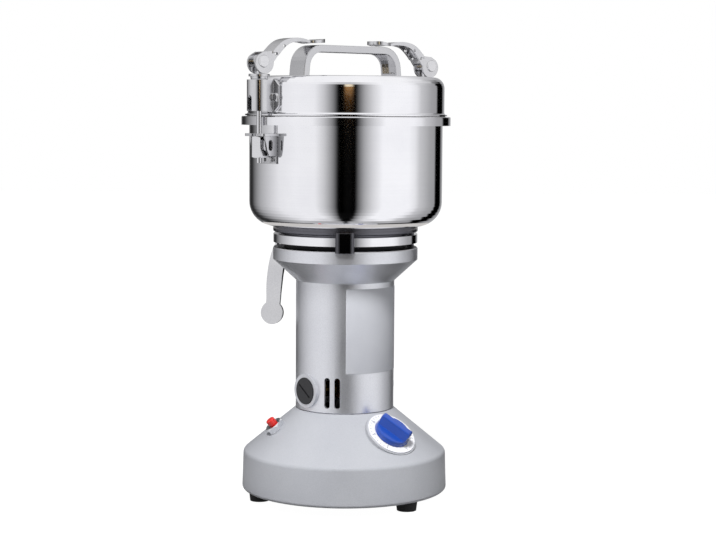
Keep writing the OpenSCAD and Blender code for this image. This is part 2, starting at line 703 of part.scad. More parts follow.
module cam_pin() {
    rotate([0, 90, 0]) cylinder(h = 2 * (ear_in + ear_t) + 2 * edge, r = pin_r, center = true);
    for (s = [0, 1]) mirror([s, 0, 0]) translate([ear_in + ear_t + seat, 0, 0]) rotate([0, 90, 0])
        cylinder(h = pin_head_t, r1 = pin_head_r, r2 = pin_head_r - edge * 0.7);
}
module band_pin() color("#c8ccd0") at_band_pivot() cam_pin();

// Cam lever, pin at the origin along X, strap along +Y, top towards +Z
tilt_z = lid_top_z - 1.5;
collar_top_z = tilt_z + 2.6;
pin_z = collar_top_z + cam_r + seat;
cam_rate = cam_lift * 180 / PI / lever_swing;
function cam_h(a) = cam_r - cam_lift * a / lever_swing;
// Cam curve whose height over a flat falls evenly as the lever turns
function cam_curve(n = 15) = [for (i = [0:n]) let (a = lever_swing * i / n, b = -90 - a)
    [cam_h(a) * cos(b) - cam_rate * sin(b), cam_h(a) * sin(b) + cam_rate * cos(b)]];
// Strap's top line: along the lever as shares of its length, and its height in cam radii
top_shares = [[0.139, 0.84], [0.2, 1.22], [0.271, 1.59], [0.361, 1.85], [0.5, 1.99], [0.625, 1.94],
    [0.722, 1.82], [0.833, 1.86], [0.917, 1.96], [1, 1.97]];
// Lower edge of the strap's side flanges, in the same shares
flange_shares = [[0.22, 0.5], [0.285, 0.95], [0.375, 1.42], [0.472, 1.63], [0.611, 1.68], [0.722, 1.6],
    [0.833, 1.6], [0.917, 1.66], [1, 1.68]];
hole_shares = [[0.19, 0.64], [0.31, 1.3]];
lever_hole_r = 1.3;
function lever_line(shares, len) = spline([for (q = shares) [q[0] * len, q[1] * cam_r]]);
strap_t = 2.2;
flange_t = 1.6;

module lever_plan(len, w) translate([0, 0, -len]) linear_extrude(3 * len) union() {
    polygon([[-w / 2, -2 * cam_r], [w / 2, -2 * cam_r], [w / 2, len * 0.55], [w * 0.46, len - 2 * lever_disc_r],
        [w * 0.46, len - lever_disc_r], [-w * 0.46, len - lever_disc_r], [-w * 0.46, len - 2 * lever_disc_r],
        [-w / 2, len * 0.55]]);
    translate([0, len - lever_disc_r]) circle(r = lever_disc_r);
}

module lever_strap(len, w) {
    top = lever_line(top_shares, len);
    low = lever_line(flange_shares, len);
    intersection() {
        lever_plan(len, w);
        union() {
            across(3 * lever_disc_r) polygon(concat(top, reversed([for (q = top) q - [0, strap_t]])));
            difference() {
                across(3 * lever_disc_r) polygon(concat(top, reversed(low)));
                lever_inner(len, w);
            }
        }
    }
}

// Plan of the space between the side flanges
module lever_inner(len, w) translate([0, 0, -len]) linear_extrude(3 * len) union() {
    polygon([[flange_t - w / 2, -2 * cam_r], [w / 2 - flange_t, -2 * cam_r], [w / 2 - flange_t, len * 0.55],
        [w * 0.46 - flange_t, len - 2 * lever_disc_r], [w * 0.46 - flange_t, len - lever_disc_r],
        [flange_t - w * 0.46, len - lever_disc_r], [flange_t - w * 0.46, len - 2 * lever_disc_r],
        [flange_t - w / 2, len * 0.55]]);
    translate([0, len - lever_disc_r]) circle(r = lever_disc_r - flange_t);
}

module lever_ears(outline, len) {
    low = lever_line(flange_shares, len);
    top = lever_line(top_shares, len);
    for (s = [0, 1]) mirror([s, 0, 0]) translate([ear_in + ear_t / 2, 0, 0]) across(ear_t)
        polygon(concat(outline, [for (q = top) if (q[0] < 0.32 * len) q],
            reversed([for (q = low) if (q[0] < 0.32 * len) q])));
    // Web between the ears where the strap begins
    across(2 * ear_in + seat) polygon(concat(
        [for (q = top) if (q[0] < 0.32 * len) q],
        reversed([for (q = top) if (q[0] < 0.32 * len) q - [0, strap_t]])));
}

module pin_hole(r) rotate([0, 90, 0]) cylinder(h = 8 * ear_in, r = r, center = true);

module lever_holes(len) for (q = hole_shares) translate([0, q[0] * len, q[1] * cam_r]) pin_hole(lever_hole_r);

module clamp_lever() difference() {
    union() {
        lever_strap(lever_len, lever_w);
        lever_ears(concat(reversed(arc([cam_rate, -cam_r * 0.12], cam_r * 0.88, -90, 5)), cam_curve(),
            [[0, 0.78 * cam_r]]), lever_len);
    }
    pin_hole(pin_r + press);
    lever_holes(lever_len);
}

module band_lever() color("#d6dadd") at_band_pivot() difference() {
    union() {
        lever_strap(band_lever_len, lever_w);
        lever_ears(concat(reversed(arc([0, 0], band_ear_r, -100, 0)),
            reversed(arc([0, 0], band_ear_r, 100, 260))), band_lever_len);
    }
    pin_hole(pin_r + press);
    lever_holes(band_lever_len);
}

// Bowl
rim_lip = 1.5;
module bowl() color("#d9dcdf") difference() {
    rotate_extrude() polygon(concat(
        [[hub_clear_r, bowl_z], [bowl_r - bowl_corner, bowl_z]],
        arc([bowl_r - bowl_corner, bowl_z + bowl_corner], bowl_corner, -90, 0, 12),
        [[bowl_r, rim_top_z - rim_lip], [rim_r - rim_lip, rim_top_z - rim_lip], [rim_r - rim_lip, rim_low_z],
            [rim_r, rim_low_z]],
        arc([rim_r - edge, rim_top_z - edge], edge, 0, 90, 4),
        [[bowl_r - sheet_t, rim_top_z]],
        arc([bowl_r - bowl_corner, bowl_z + bowl_corner], bowl_corner - sheet_t, 0, -90, 12),
        [[hub_clear_r, bowl_z + sheet_t]]));
    for (i = [0:3]) rotate([0, 0, 45 + i * 90]) translate([0, -adapter_screw_at_r, bowl_z - over])
        cylinder(h = bowl_corner, r = adapter_screw_r + fit);
}

hub_clear_r = 13;
seal_h = 6;
seal_drop = 3;
seal_r = 20;
seal_top_r = 16;
module shaft_seal() color("#303030") difference() {
    union() {
        translate([0, 0, bowl_z - seal_drop]) cylinder(h = seal_drop + sheet_t, r = hub_clear_r - seat);
        translate([0, 0, bowl_z + sheet_t + seat]) cylinder(h = seal_h - seat, r1 = seal_r, r2 = seal_top_r);
    }
    translate([0, 0, bowl_z - seal_drop - over]) cylinder(h = seal_drop + 2 * seal_h, r = shaft_r + fit);
}

// Blades on the shaft's thread
blade_r = bowl_r - 10.6;
blade_w = 22;
blade_t = 3;
blade_reaches = [1, 0.9, 0.75]; // shares of the lowest blade's reach
blade_rises = [0, 12, 20]; // rise of the tips, lowest blade first
blade_turns = [0, 60, 120];
spacer_h = 10;
blade_bore_r = shaft_r + fit / 2;

module blade(z, reach, rise, turn) translate([0, 0, z]) rotate([0, 0, turn]) difference() {
    intersection() {
        rotate([90, 0, 0]) linear_extrude(blade_w, center = true) polygon([
            [-reach, rise], [-reach * 0.45, 0], [reach * 0.45, 0], [reach, rise], [reach, rise + blade_t],
            [reach * 0.45, blade_t], [-reach * 0.45, blade_t], [-reach, rise + blade_t]]);
        translate([0, 0, -reach]) linear_extrude(2 * reach) polygon([[-reach, -blade_w / 2],
            [-reach * 0.2, -blade_w / 2], [reach, -blade_w * 0.1], [reach, blade_w / 2],
            [reach * 0.2, blade_w / 2], [-reach, blade_w * 0.1]]);
    }
    translate([0, 0, -reach]) cylinder(h = 2 * reach, r = blade_bore_r);
}
module blade_at(i) color("#b8bcc0") blade(blade_z + i * (blade_t + spacer_h) + (2 * i + 1) * seat,
    blade_r * blade_reaches[i], blade_rises[i], blade_turns[i]);
module lower_blade() blade_at(0);
module middle_blade() blade_at(1);
module upper_blade() blade_at(2);
module blade_spacers() color("#a0a4a8") for (i = [0, 1])
    ring(hub_r, blade_bore_r, blade_z + blade_t + i * (blade_t + spacer_h) + (2 + 2 * i) * seat,
        blade_z + blade_t + i * (blade_t + spacer_h) + (2 + 2 * i) * seat + spacer_h);
blade_nut_h = 5;
blade_nut_r = 8;
blade_nut_z = blade_z + 3 * blade_t + 2 * spacer_h + 6 * seat;
module blade_nut() color("#c8ccd0") translate([0, 0, blade_nut_z]) difference() {
    union() {
        cylinder(h = blade_nut_h, r = blade_nut_r, $fn = 6);
        rotate_extrude() polygon(concat([[0, 0]], arc([0, blade_nut_h - edge], blade_nut_r - edge, 0, 90)));
    }
    translate([0, 0, -over]) cylinder(h = shaft_top_z - blade_nut_z + over, r = blade_bore_r);
}

// Catch brackets on the bowl, drawn at the front
catch_top_z = rim_low_z - 7.2;
catch_t = 2.4;
catch_back_t = 1.5;
catch_reach = clamp_at_r + 6.3;
catch_low_z = catch_top_z - 19.9;
catch_foot_z = catch_low_z - 7;
cheek_t = 2;
cheek_in = 4; // the cheeks' upper end lies back from the top plate's edge
cheek_slope = 2.5; // and their lower end further back
catch_round = 3;
catch_rivet_r = 2.6;
catch_rivet_x = 6;
catch_rivet_up = 3.5;
catch_rivet_t = 1.2;
catch_window_r = 2.1;
catch_window_up = 9.5;
catch_window_half = 2.6;

module shell_sector(r0, r1, half, z0, z1) intersection() {
    ring(r1, r0, z0, z1);
    translate([-half, -2 * r1, z0]) cube([2 * half, 2 * r1, z1 - z0]);
}

module catch_bracket() color("#d2d6d9") {
    difference() {
        union() {
            shell_sector(bowl_r + wall_gap, bowl_r + catch_back_t, cheek_half, catch_foot_z, catch_top_z);
            difference() {
                union() {
                    translate([0, 0, catch_top_z - catch_t]) linear_extrude(catch_t) polygon(concat(
                        [[-catch_half, 0]],
                        arc([catch_round - catch_half, catch_round - catch_reach], catch_round, 180, 270, 5),
                        arc([catch_half - catch_round, catch_round - catch_reach], catch_round, -90, 0, 5),
                        [[catch_half, 0]]));
                    for (s = [0, 1]) mirror([s, 0, 0]) translate([cheek_half - cheek_t / 2, 0, 0])
                        across(cheek_t) polygon([[cheek_in - catch_reach, catch_top_z - catch_t],
                            [cheek_in + cheek_slope - catch_reach, catch_low_z + catch_window_half * 2],
                            [cheek_in + 2 * cheek_slope - catch_reach, catch_low_z], [0, catch_low_z],
                            [0, catch_top_z - catch_t]]);
                }
                cylinder(h = rim_top_z, r = bowl_r + wall_gap);
            }
        }
        translate([-rod_r - clear, -2 * catch_reach, catch_top_z - 2 * catch_t])
            cube([2 * (rod_r + clear), 2 * catch_reach - clamp_at_r, 3 * catch_t]);
        translate([0, -clamp_at_r, catch_top_z - 2 * catch_t]) cylinder(h = 3 * catch_t, r = rod_r + clear);
        // Upright window in each cheek
        for (z = [-1, 1])
            translate([-2 * catch_half, catch_window_y, catch_low_z + catch_window_up + z * catch_window_half])
                rotate([0, 90, 0]) cylinder(h = 4 * catch_half, r = catch_window_r);
        translate([-2 * catch_half, catch_window_y, catch_low_z + catch_window_up])
            cube([8 * catch_half, 2 * catch_window_r, 2 * catch_window_half], center = true);
    }
    for (x = [-1, 1]) translate([x * catch_rivet_x, -bowl_r - wall_gap, catch_foot_z + catch_rivet_up])
        rotate([90, 0, 0]) cylinder(h = catch_back_t - wall_gap + catch_rivet_t, r = catch_rivet_r);
}
catch_window_y = catch_round + edge - clamp_at_r;
module catch_left() at_azimuth(clamp_az) catch_bracket();
module catch_right() at_azimuth(clamp_az + 180) catch_bracket();

// Lid
gasket_w = 6;
lid_lip = 2.6; // reach of the lip over the lid's wall
lid_lip_t = 1.3;
lid_fillet = 2;
lid_flange = 8;
module lid_gasket() color("#c8c8c4") ring(lid_r + edge, lid_r - gasket_w, rim_top_z + seat, lid_low_z - seat);

module lid_shell() color("#d9dcdf") difference() {
    rotate_extrude() polygon(concat(
        [[0, lid_top_z - sheet_t]],
        arc([lid_r - lid_corner, lid_top_z - lid_corner], lid_corner - sheet_t, 90, 0),
        [[lid_r - sheet_t, lid_low_z + sheet_t], [lid_r - lid_flange, lid_low_z + sheet_t],
            [lid_r - lid_flange, lid_low_z], [lid_r + lid_lip, lid_low_z], [lid_r + lid_lip, lid_low_z + lid_lip_t]],
        arc([lid_r + lid_fillet, lid_low_z + lid_lip_t + lid_fillet], lid_fillet, 270, 180, 5),
        arc([lid_r - lid_corner, lid_top_z - lid_corner], lid_corner, 0, 90),
        [[0, lid_top_z]]));
    for (s = [-1, 1]) at_azimuth(clamp_az) translate([0, s * handle_screw_y, lid_top_z - 2 * sheet_t])
        cylinder(h = 4 * sheet_t, r = handle_screw_r + fit);
}

// Handle: channel strap bent to an arch
handle_bend = 20;
handle_splay = 6;
handle_web = 2;
handle_side = 1.9;
handle_foot = 4;
handle_head_t = 2;
handle_screw_r = 2.5;
handle_screw_y = handle_len / 2 - handle_t / 2 - edge / 2;
handle_c = handle_len / 2 - (handle_h - handle_bend + handle_bend * sin(handle_splay)) * tan(handle_splay)
    - handle_bend * cos(handle_splay);
function handle_side_line(depth, low) = let (r = handle_bend - depth, c = [handle_c, handle_h - handle_bend],
    x = c[0] + r * cos(handle_splay) + (c[1] + r * sin(handle_splay) - low) * tan(handle_splay))
    concat([[x, low]], arc(c, r, handle_splay, 90));
function mirrored(p) = [for (i = [len(p) - 1:-1:0]) [-p[i][0], p[i][1]]];
function handle_arch(d0, d1, low) = let (a = handle_side_line(d0, low), b = handle_side_line(d1, low))
    concat(a, mirrored(a), reversed(mirrored(b)), reversed(b));

module lid_handle() color("#d6dadd") at_azimuth(clamp_az) translate([0, 0, lid_top_z + seat]) difference() {
    across(handle_w) polygon(handle_arch(0, handle_t, 0));
    across(handle_w - 2 * handle_side) polygon(handle_arch(handle_web, handle_t + 2 * over, handle_foot));
    for (s = [-1, 1]) translate([0, s * handle_screw_y, -over])
        cylinder(h = handle_foot + 2 * over, r = handle_screw_r + fit);
    for (s = [-1, 1]) mirror([s < 0 ? 1 : 0, 0, 0]) translate([handle_w / 2, 0, 0]) rotate([0, 0, 0])
        across(edge) polygon(concat(handle_arch(-over, edge * 0.5, 0)));
}

module handle_screws() color("lightgray") at_azimuth(clamp_az) for (s = [-1, 1])
    translate([0, s * handle_screw_y, lid_top_z - sheet_t - seat - handle_head_t]) {
        cylinder(h = handle_head_t, r = handle_screw_r * 1.8);
        cylinder(h = handle_head_t + seat * 2 + sheet_t + handle_foot - edge, r = handle_screw_r);
    }

// Clamps, drawn at the front
bracket_r = 10.9;
bracket_top_z = lid_top_z - 4;
bracket_low_z = lid_low_z + 3.9;
bracket_foot_half = 17;
bracket_foot_t = 2.2;
ball_r = 7.8;
collar_r = 9.4;
collar_low_z = tilt_z + wall_gap;
ball_low_z = tilt_z - 5.1;
bracket_neck_r = 5.6;
bracket_bore_r = 8.3;
bore_flare = 3;
bracket_rivet_r = 4;
rivet_round = 1.4;
bracket_rivet_x = 13;
bracket_rivet_z = bracket_low_z + 11.9;
slot_top_z = bracket_low_z + 11;
foot_chamfer = 5;
// Lower corners of the foot, with their height above its edge
foot_corners = [[-bracket_foot_half, foot_chamfer], [foot_chamfer - bracket_foot_half, 0],
    [bracket_foot_half - foot_chamfer, 0], [bracket_foot_half, foot_chamfer]];

module clamp_bracket() color("#d9dcdf") difference() {
    union() {
        difference() {
            union() {
                translate([0, -clamp_at_r, bracket_low_z])
                    cylinder(h = bracket_top_z - bracket_low_z, r = bracket_r);
                translate([-bracket_r, -clamp_at_r, bracket_low_z])
                    cube([2 * bracket_r, clamp_at_r - lid_r + 2 * over, bracket_top_z - bracket_low_z]);
            }
            translate([0, 0, bracket_low_z - over]) cylinder(h = lid_top_z, r = lid_r + wall_gap);
        }
        intersection() {
            ring(lid_r + bracket_foot_t, lid_r + wall_gap, bracket_low_z, bracket_top_z);
            rotate([90, 0, 0]) linear_extrude(2 * lid_r) polygon(concat(
                [for (q = foot_corners) [q[0], bracket_low_z + q[1]]],
                [for (q = reversed(foot_corners)) [q[0], bracket_top_z - q[1]]]));
        }
        for (x = [-1, 1]) rotate([0, 0, x * asin(bracket_rivet_x / lid_r)])
            translate([0, -lid_r - bracket_foot_t + over / 2, bracket_rivet_z]) rotate([90, 0, 0])
                rotate_extrude() polygon(concat([[0, 0], [bracket_rivet_r, 0]],
                    arc([bracket_rivet_r - rivet_round, over / 2], rivet_round, 0, 90, 5),
                    [[0, over / 2 + rivet_round]]));
    }
    // Seat for the collar's ball, neck and flaring bore
    translate([0, -clamp_at_r, tilt_z]) sphere(r = ball_r + fit);
    translate([0, -clamp_at_r, 0]) rotate_extrude() polygon([[0, bracket_low_z - over],
        [bracket_bore_r, bracket_low_z - over], [bracket_bore_r, slot_top_z + bore_flare],
        [bracket_neck_r, ball_low_z - bore_flare], [bracket_neck_r, tilt_z], [0, tilt_z]]);
    // Slot through which the rod swings out
    translate([-rod_r - clear, -clamp_at_r - 2 * bracket_r, bracket_low_z - over])
        cube([2 * (rod_r + clear), 2 * bracket_r, slot_top_z - bracket_low_z + over]);
    translate([0, -clamp_at_r, slot_top_z]) rotate([90, 0, 0]) cylinder(h = 2 * bracket_r, r = rod_r + clear);
}

module clamp_collar() color("#d9dcdf") translate([0, -clamp_at_r, 0]) difference() {
    union() {
        intersection() {
            translate([0, 0, tilt_z]) sphere(r = ball_r);
            translate([0, 0, ball_low_z]) cylinder(h = collar_low_z - ball_low_z + edge / 2, r = collar_r);
        }
        rotate_extrude() polygon(concat([[0, collar_low_z], [collar_r, collar_low_z]],
            arc([collar_r - edge * 0.6, collar_top_z - edge * 0.6], edge * 0.6, 0, 90, 4), [[0, collar_top_z]]));
    }
    translate([0, 0, ball_low_z - over]) cylinder(h = collar_top_z, r = rod_r + fit);
}

rod_low_z = catch_low_z - 6.1;
module clamp_rod() color("#c8ccd0") translate([0, -clamp_at_r, 0]) difference() {
    union() {
        translate([0, 0, pin_z]) rotate([0, 90, 0]) cylinder(h = 2 * eye_half, r = eye_r, center = true);
        translate([0, 0, rod_low_z]) cylinder(h = pin_z - rod_low_z, r = rod_r);
        translate([0, 0, pin_z - eye_r - edge]) cylinder(h = eye_r, r1 = rod_r, r2 = eye_r * 0.8);
    }
    translate([0, 0, pin_z]) pin_hole(pin_r + fit);
}

nut_r = 7.8;
nut_low_z = catch_low_z - 1.5;
nut_top_z = catch_top_z - catch_t - seat;
module clamp_nut() color("#d9dcdf") translate([0, -clamp_at_r, 0]) difference() {
    intersection() {
        translate([0, 0, nut_low_z]) rotate([0, 0, 30]) cylinder(h = nut_top_z - nut_low_z, r = nut_r, $fn = 6);
        rotate_extrude() polygon([[0, nut_low_z], [nut_r - edge, nut_low_z], [nut_r + edge / 2, nut_low_z + edge],
            [nut_r + edge / 2, nut_top_z - edge * 1.2], [nut_r - edge * 1.6, nut_top_z], [0, nut_top_z]]);
    }
    translate([0, 0, nut_low_z - over]) cylinder(h = catch_top_z, r = rod_r + press);
}

module at_cam_pin() translate([0, -clamp_at_r, pin_z]) children();
module clamp_bracket_left() at_azimuth(clamp_az) clamp_bracket();
module clamp_bracket_right() at_azimuth(clamp_az + 180) clamp_bracket();
module clamp_collar_left() at_azimuth(clamp_az) clamp_collar();
module clamp_collar_right() at_azimuth(clamp_az + 180) clamp_collar();
module clamp_rod_left() at_azimuth(clamp_az) clamp_rod();
module clamp_rod_right() at_azimuth(clamp_az + 180) clamp_rod();
module clamp_nut_left() at_azimuth(clamp_az) clamp_nut();
module clamp_nut_right() at_azimuth(clamp_az + 180) clamp_nut();
module clamp_lever_left() color("#d6dadd") at_azimuth(clamp_az) at_cam_pin() clamp_lever();
module clamp_lever_right() color("#d6dadd") at_azimuth(clamp_az + 180) at_cam_pin() clamp_lever();
module clamp_pin_left() color("#c8ccd0") at_azimuth(clamp_az) at_cam_pin() cam_pin();
module clamp_pin_right() color("#c8ccd0") at_azimuth(clamp_az + 180) at_cam_pin() cam_pin();

base_shell();
base_plate();
rubber_feet();
foot_screws();
cord_grommet();
motor_housing();
brush_caps();
brush_holders();
brush_springs();
carbon_brushes();
stator_core();
stator_windings();
lower_bearing_bracket();
lower_bearing();
upper_bearing();
motor_shaft();
armature_core();
armature_windings();
commutator();
cooling_fan();
timer_body();
timer_dial();
timer_knob();
overload_protector();
reset_bezel();
reset_button();
bowl_adapter();
adapter_screws();
lock_band();
band_posts();
band_lever_block();
band_lever();
band_pin();
bowl();
shaft_seal();
lower_blade();
middle_blade();
upper_blade();
blade_spacers();
blade_nut();
catch_left();
catch_right();
lid_gasket();
lid_shell();
lid_handle();
handle_screws();
clamp_bracket_left();
clamp_bracket_right();
clamp_collar_left();
clamp_collar_right();
clamp_rod_left();
clamp_rod_right();
clamp_nut_left();
clamp_nut_right();
clamp_lever_left();
clamp_lever_right();
clamp_pin_left();
clamp_pin_right();
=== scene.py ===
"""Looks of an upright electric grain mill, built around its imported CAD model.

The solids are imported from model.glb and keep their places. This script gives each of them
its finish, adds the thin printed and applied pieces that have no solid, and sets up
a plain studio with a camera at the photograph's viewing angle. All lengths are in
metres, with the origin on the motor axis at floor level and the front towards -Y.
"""

from __future__ import annotations

import logging
import math
from dataclasses import dataclass, field
from enum import Enum

import bmesh
import bpy
from mathutils import Matrix, Vector


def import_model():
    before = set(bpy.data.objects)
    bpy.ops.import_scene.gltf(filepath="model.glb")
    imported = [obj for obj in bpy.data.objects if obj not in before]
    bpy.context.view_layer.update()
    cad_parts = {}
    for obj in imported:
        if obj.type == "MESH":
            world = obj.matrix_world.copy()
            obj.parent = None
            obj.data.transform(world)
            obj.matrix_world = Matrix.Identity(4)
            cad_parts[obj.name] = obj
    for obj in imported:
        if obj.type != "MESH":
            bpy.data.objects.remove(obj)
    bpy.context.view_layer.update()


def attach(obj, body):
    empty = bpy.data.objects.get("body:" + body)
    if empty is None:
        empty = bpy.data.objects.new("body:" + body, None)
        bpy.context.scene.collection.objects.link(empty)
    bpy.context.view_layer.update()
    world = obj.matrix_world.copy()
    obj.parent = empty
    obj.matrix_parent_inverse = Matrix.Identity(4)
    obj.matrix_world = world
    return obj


LOG = logging.getLogger("grain_mill")
MM = 0.001
Colour = tuple[float, float, float]

# Patterns that all finishes share.
COAT_ROUGHNESS = 0.04
LEAST_ROUGHNESS = 0.02
BEVEL_SAMPLES = 4
BROAD_NOISE = {"Scale": 18.0, "Detail": 4.0, "Roughness": 0.6}
BROAD_STOPS = [(0.35, (0.94, 0.94, 0.95)), (0.65, (1.0, 1.0, 1.0))]
FINE_NOISE = {"Detail": 3.0, "Roughness": 0.65}
FINE_FROM, FINE_TO = 0.30, 0.70
WIRE_WAVE = {"Distortion": 1.2, "Detail": 1.0}
WIRE_TURNS = 0.16
SHEEN_SPAN = {"From Min": 0.6, "From Max": 1.4}
# Black used as painted shade in the gap under the lock band.
GAP_SHADE_BLACK = (0.006, 0.006, 0.008, 1.0)


class Grain(Enum):
    """How a surface was made, which sets the pattern of its fine relief."""

    CAST = "cast and painted"
    SPUN = "spun sheet, with rings round the axis"
    POLISHED = "polished by hand"
    MOULDED = "moulded"
    WOUND = "wound wire"
    STACKED = "stacked sheet"


class Side(Enum):
    """The two cam clamps, by where they stand in the photograph."""

    LEFT = "left"
    RIGHT = "right"


class Graph:
    """A thin helper round one material's node tree."""

    def __init__(self, tree: bpy.types.NodeTree) -> None:
        """Keeps the tree and empties it.

        Args:
            tree: the node tree to fill.
        """
        self.tree = tree
        tree.nodes.clear()

    def add(self, kind: str, values: dict[str, object] | None = None, **settings: object) -> bpy.types.Node:
        """Adds a node.

        Args:
            kind: Blender's class name of the node.
            values: socket values by socket name.
            settings: attributes of the node itself.

        Returns:
            The new node.
        """
        node = self.tree.nodes.new(kind)
        for name, value in settings.items():
            setattr(node, name, value)
        for name, value in (values or {}).items():
            node.inputs[name].default_value = value
        return node

    def link(self, source: bpy.types.NodeSocket, target: bpy.types.NodeSocket) -> None:
        """Joins an output socket to an input socket."""
        self.tree.links.new(source, target)

    def ramp(self, factor: bpy.types.NodeSocket, stops: list[tuple[float, Colour]]) -> bpy.types.NodeSocket:
        """Adds a colour ramp.

        Args:
            factor: the socket that drives it.
            stops: places from 0 to 1 with their colours.

        Returns:
            The ramp's colour output.
        """
        node = self.add("ShaderNodeValToRGB")
        elements = node.color_ramp.elements
        while len(elements) > 1:
            elements.remove(elements[-1])
        elements[0].position = stops[0][0]
        elements[0].color = (*stops[0][1], 1.0)
        for place, colour in stops[1:]:
            elements.new(place).color = (*colour, 1.0)
        self.link(factor, node.inputs["Fac"])
        return node.outputs["Color"]


def empty_material(name: str) -> tuple[bpy.types.Material, Graph, bpy.types.NodeSocket]:
    """Makes a material with nothing but its output.

    Args:
        name: the material's name.

    Returns:
        The material, its graph and the surface input of its output.
    """
    made = bpy.data.materials.new(name)
    made.use_nodes = True
    graph = Graph(made.node_tree)
    return made, graph, graph.add("ShaderNodeOutputMaterial").inputs["Surface"]


@dataclass(frozen=True)
class Finish:
    """One surface finish, made as a node-based material.

    Above a given height, where one is given, the surface is painted black: painted shade for a dark gap
    between parts.
    """

    name: str
    colour: Colour
    metallic: float
    roughness: float
    grain: Grain
    grain_size: float = 0.6 * MM
    relief: float = 0.02 * MM
    variation: float = 0.06
    wear: float = 0.05
    coat: float = 0.0
    soft_edge: float = 0.0
    # Height above which the colour is painted black as shade; zero for none.
    painted_shade_above: float = 0.0

    def material(self) -> bpy.types.Material:
        """Builds the material, or gives back the one already built.

        Returns:
            The Blender material.
        """
        known = bpy.data.materials.get(self.name)
        if known is not None:
            return known
        made, graph, out = empty_material(self.name)
        made.diffuse_color = (*self.colour, 1.0)
        surface = graph.add("ShaderNodeBsdfPrincipled", {
            "Metallic": self.metallic,
            "Coat Weight": self.coat,
            "Coat Roughness": COAT_ROUGHNESS,
        })
        graph.link(surface.outputs["BSDF"], out)
        place = graph.add("ShaderNodeTexCoord").outputs["Object"]
        fine = self._fine(graph, place)
        broad = graph.add("ShaderNodeTexNoise", BROAD_NOISE)
        graph.link(place, broad.inputs["Vector"])
        self._paint(graph, surface, fine, broad.outputs["Fac"], place)
        self._sheen(graph, surface, fine, broad.outputs["Fac"])
        self._relief(graph, surface, fine)
        return made

    def _fine(self, graph: Graph, place: bpy.types.NodeSocket) -> bpy.types.NodeSocket:
        """Makes the fine pattern of the grain.

        Args:
            graph: the material's graph.
            place: object coordinates.

        Returns:
            A factor socket from 0 to 1.
        """
        stretch = {
            Grain.SPUN: (3.0, 3.0, 1.0 / self.grain_size),
            Grain.STACKED: (1.0, 1.0, 1.0 / self.grain_size),
        }.get(self.grain)
        if self.grain is Grain.WOUND:
            wave = graph.add("ShaderNodeTexWave", {"Scale": WIRE_TURNS / self.grain_size, **WIRE_WAVE},
                             bands_direction="DIAGONAL")
            graph.link(place, wave.inputs["Vector"])
            return wave.outputs["Fac"]
        noise = graph.add("ShaderNodeTexNoise", FINE_NOISE)
        if stretch is None:
            noise.inputs["Scale"].default_value = 1.0 / self.grain_size
            graph.link(place, noise.inputs["Vector"])
            return noise.outputs["Fac"]
        mapping = graph.add("ShaderNodeMapping", {"Scale": stretch})
        noise.inputs["Scale"].default_value = 1.0
        graph.link(place, mapping.inputs["Vector"])
        graph.link(mapping.outputs["Vector"], noise.inputs["Vector"])
        return noise.outputs["Fac"]

    def _paint(self, graph: Graph, surface: bpy.types.Node, fine: bpy.types.NodeSocket,
               broad: bpy.types.NodeSocket, place: bpy.types.NodeSocket) -> None:
        """Colours the surface, a little unevenly, and paints it black above a given height as painted shade.

        Args:
            graph: the material's graph.
            surface: the shader.
            fine: the grain's factor.
            broad: a slow noise over the whole piece.
            place: object coordinates.
        """
        low = tuple(max(0.0, c * (1.0 - self.variation)) for c in self.colour)
        high = tuple(min(1.0, c * (1.0 + self.variation)) for c in self.colour)
        first = graph.ramp(fine, [(FINE_FROM, low), (FINE_TO, high)])
        second = graph.ramp(broad, BROAD_STOPS)
        mix = graph.add("ShaderNodeMix", data_type="RGBA", blend_type="MULTIPLY")
        mix.inputs["Factor"].default_value = 1.0
        graph.link(first, mix.inputs["A"])
        graph.link(second, mix.inputs["B"])
        painted = mix.outputs["Result"]
        # Painted shade: above this height the colour turns black, standing in for the shadow in a gap between
        # parts.
        if self.painted_shade_above > 0.0:
            height = graph.add("ShaderNodeSeparateXYZ")
            graph.link(place, height.inputs["Vector"])
            above = graph.add("ShaderNodeMath", operation="GREATER_THAN")
            above.inputs[1].default_value = self.painted_shade_above
            graph.link(height.outputs["Z"], above.inputs[0])
            dark = graph.add("ShaderNodeMix", data_type="RGBA")
            dark.inputs["B"].default_value = GAP_SHADE_BLACK
            graph.link(painted, dark.inputs["A"])
            graph.link(above.outputs[0], dark.inputs["Factor"])
            painted = dark.outputs["Result"]
        graph.link(painted, surface.inputs["Base Color"])

    def _sheen(self, graph: Graph, surface: bpy.types.Node, fine: bpy.types.NodeSocket,
               broad: bpy.types.NodeSocket) -> None:
        """Varies the roughness with handling wear and grain.

        Args:
            graph: the material's graph.
            surface: the shader.
            fine: the grain's factor.
            broad: a slow noise over the whole piece.
        """
        total = graph.add("ShaderNodeMath", operation="ADD")
        graph.link(fine, total.inputs[0])
        graph.link(broad, total.inputs[1])
        reach = graph.add("ShaderNodeMapRange", {
            **SHEEN_SPAN,
            "To Min": max(LEAST_ROUGHNESS, self.roughness - self.wear),
            "To Max": min(1.0, self.roughness + self.wear),
        })
        graph.link(total.outputs[0], reach.inputs["Value"])
        graph.link(reach.outputs["Result"], surface.inputs["Roughness"])

    def _relief(self, graph: Graph, surface: bpy.types.Node, fine: bpy.types.NodeSocket) -> None:
        """Adds the grain's relief, and softens sharp edges where the real ones are broken.

        Args:
            graph: the material's graph.
            surface: the shader.
            fine: the grain's factor.
        """
        bump = graph.add("ShaderNodeBump", {"Strength": 1.0, "Distance": self.relief})
        graph.link(fine, bump.inputs["Height"])
        if self.soft_edge > 0.0:
            rounded = graph.add("ShaderNodeBevel", {"Radius": self.soft_edge}, samples=BEVEL_SAMPLES)
            graph.link(rounded.outputs["Normal"], bump.inputs["Normal"])
        graph.link(bump.outputs["Normal"], surface.inputs["Normal"])
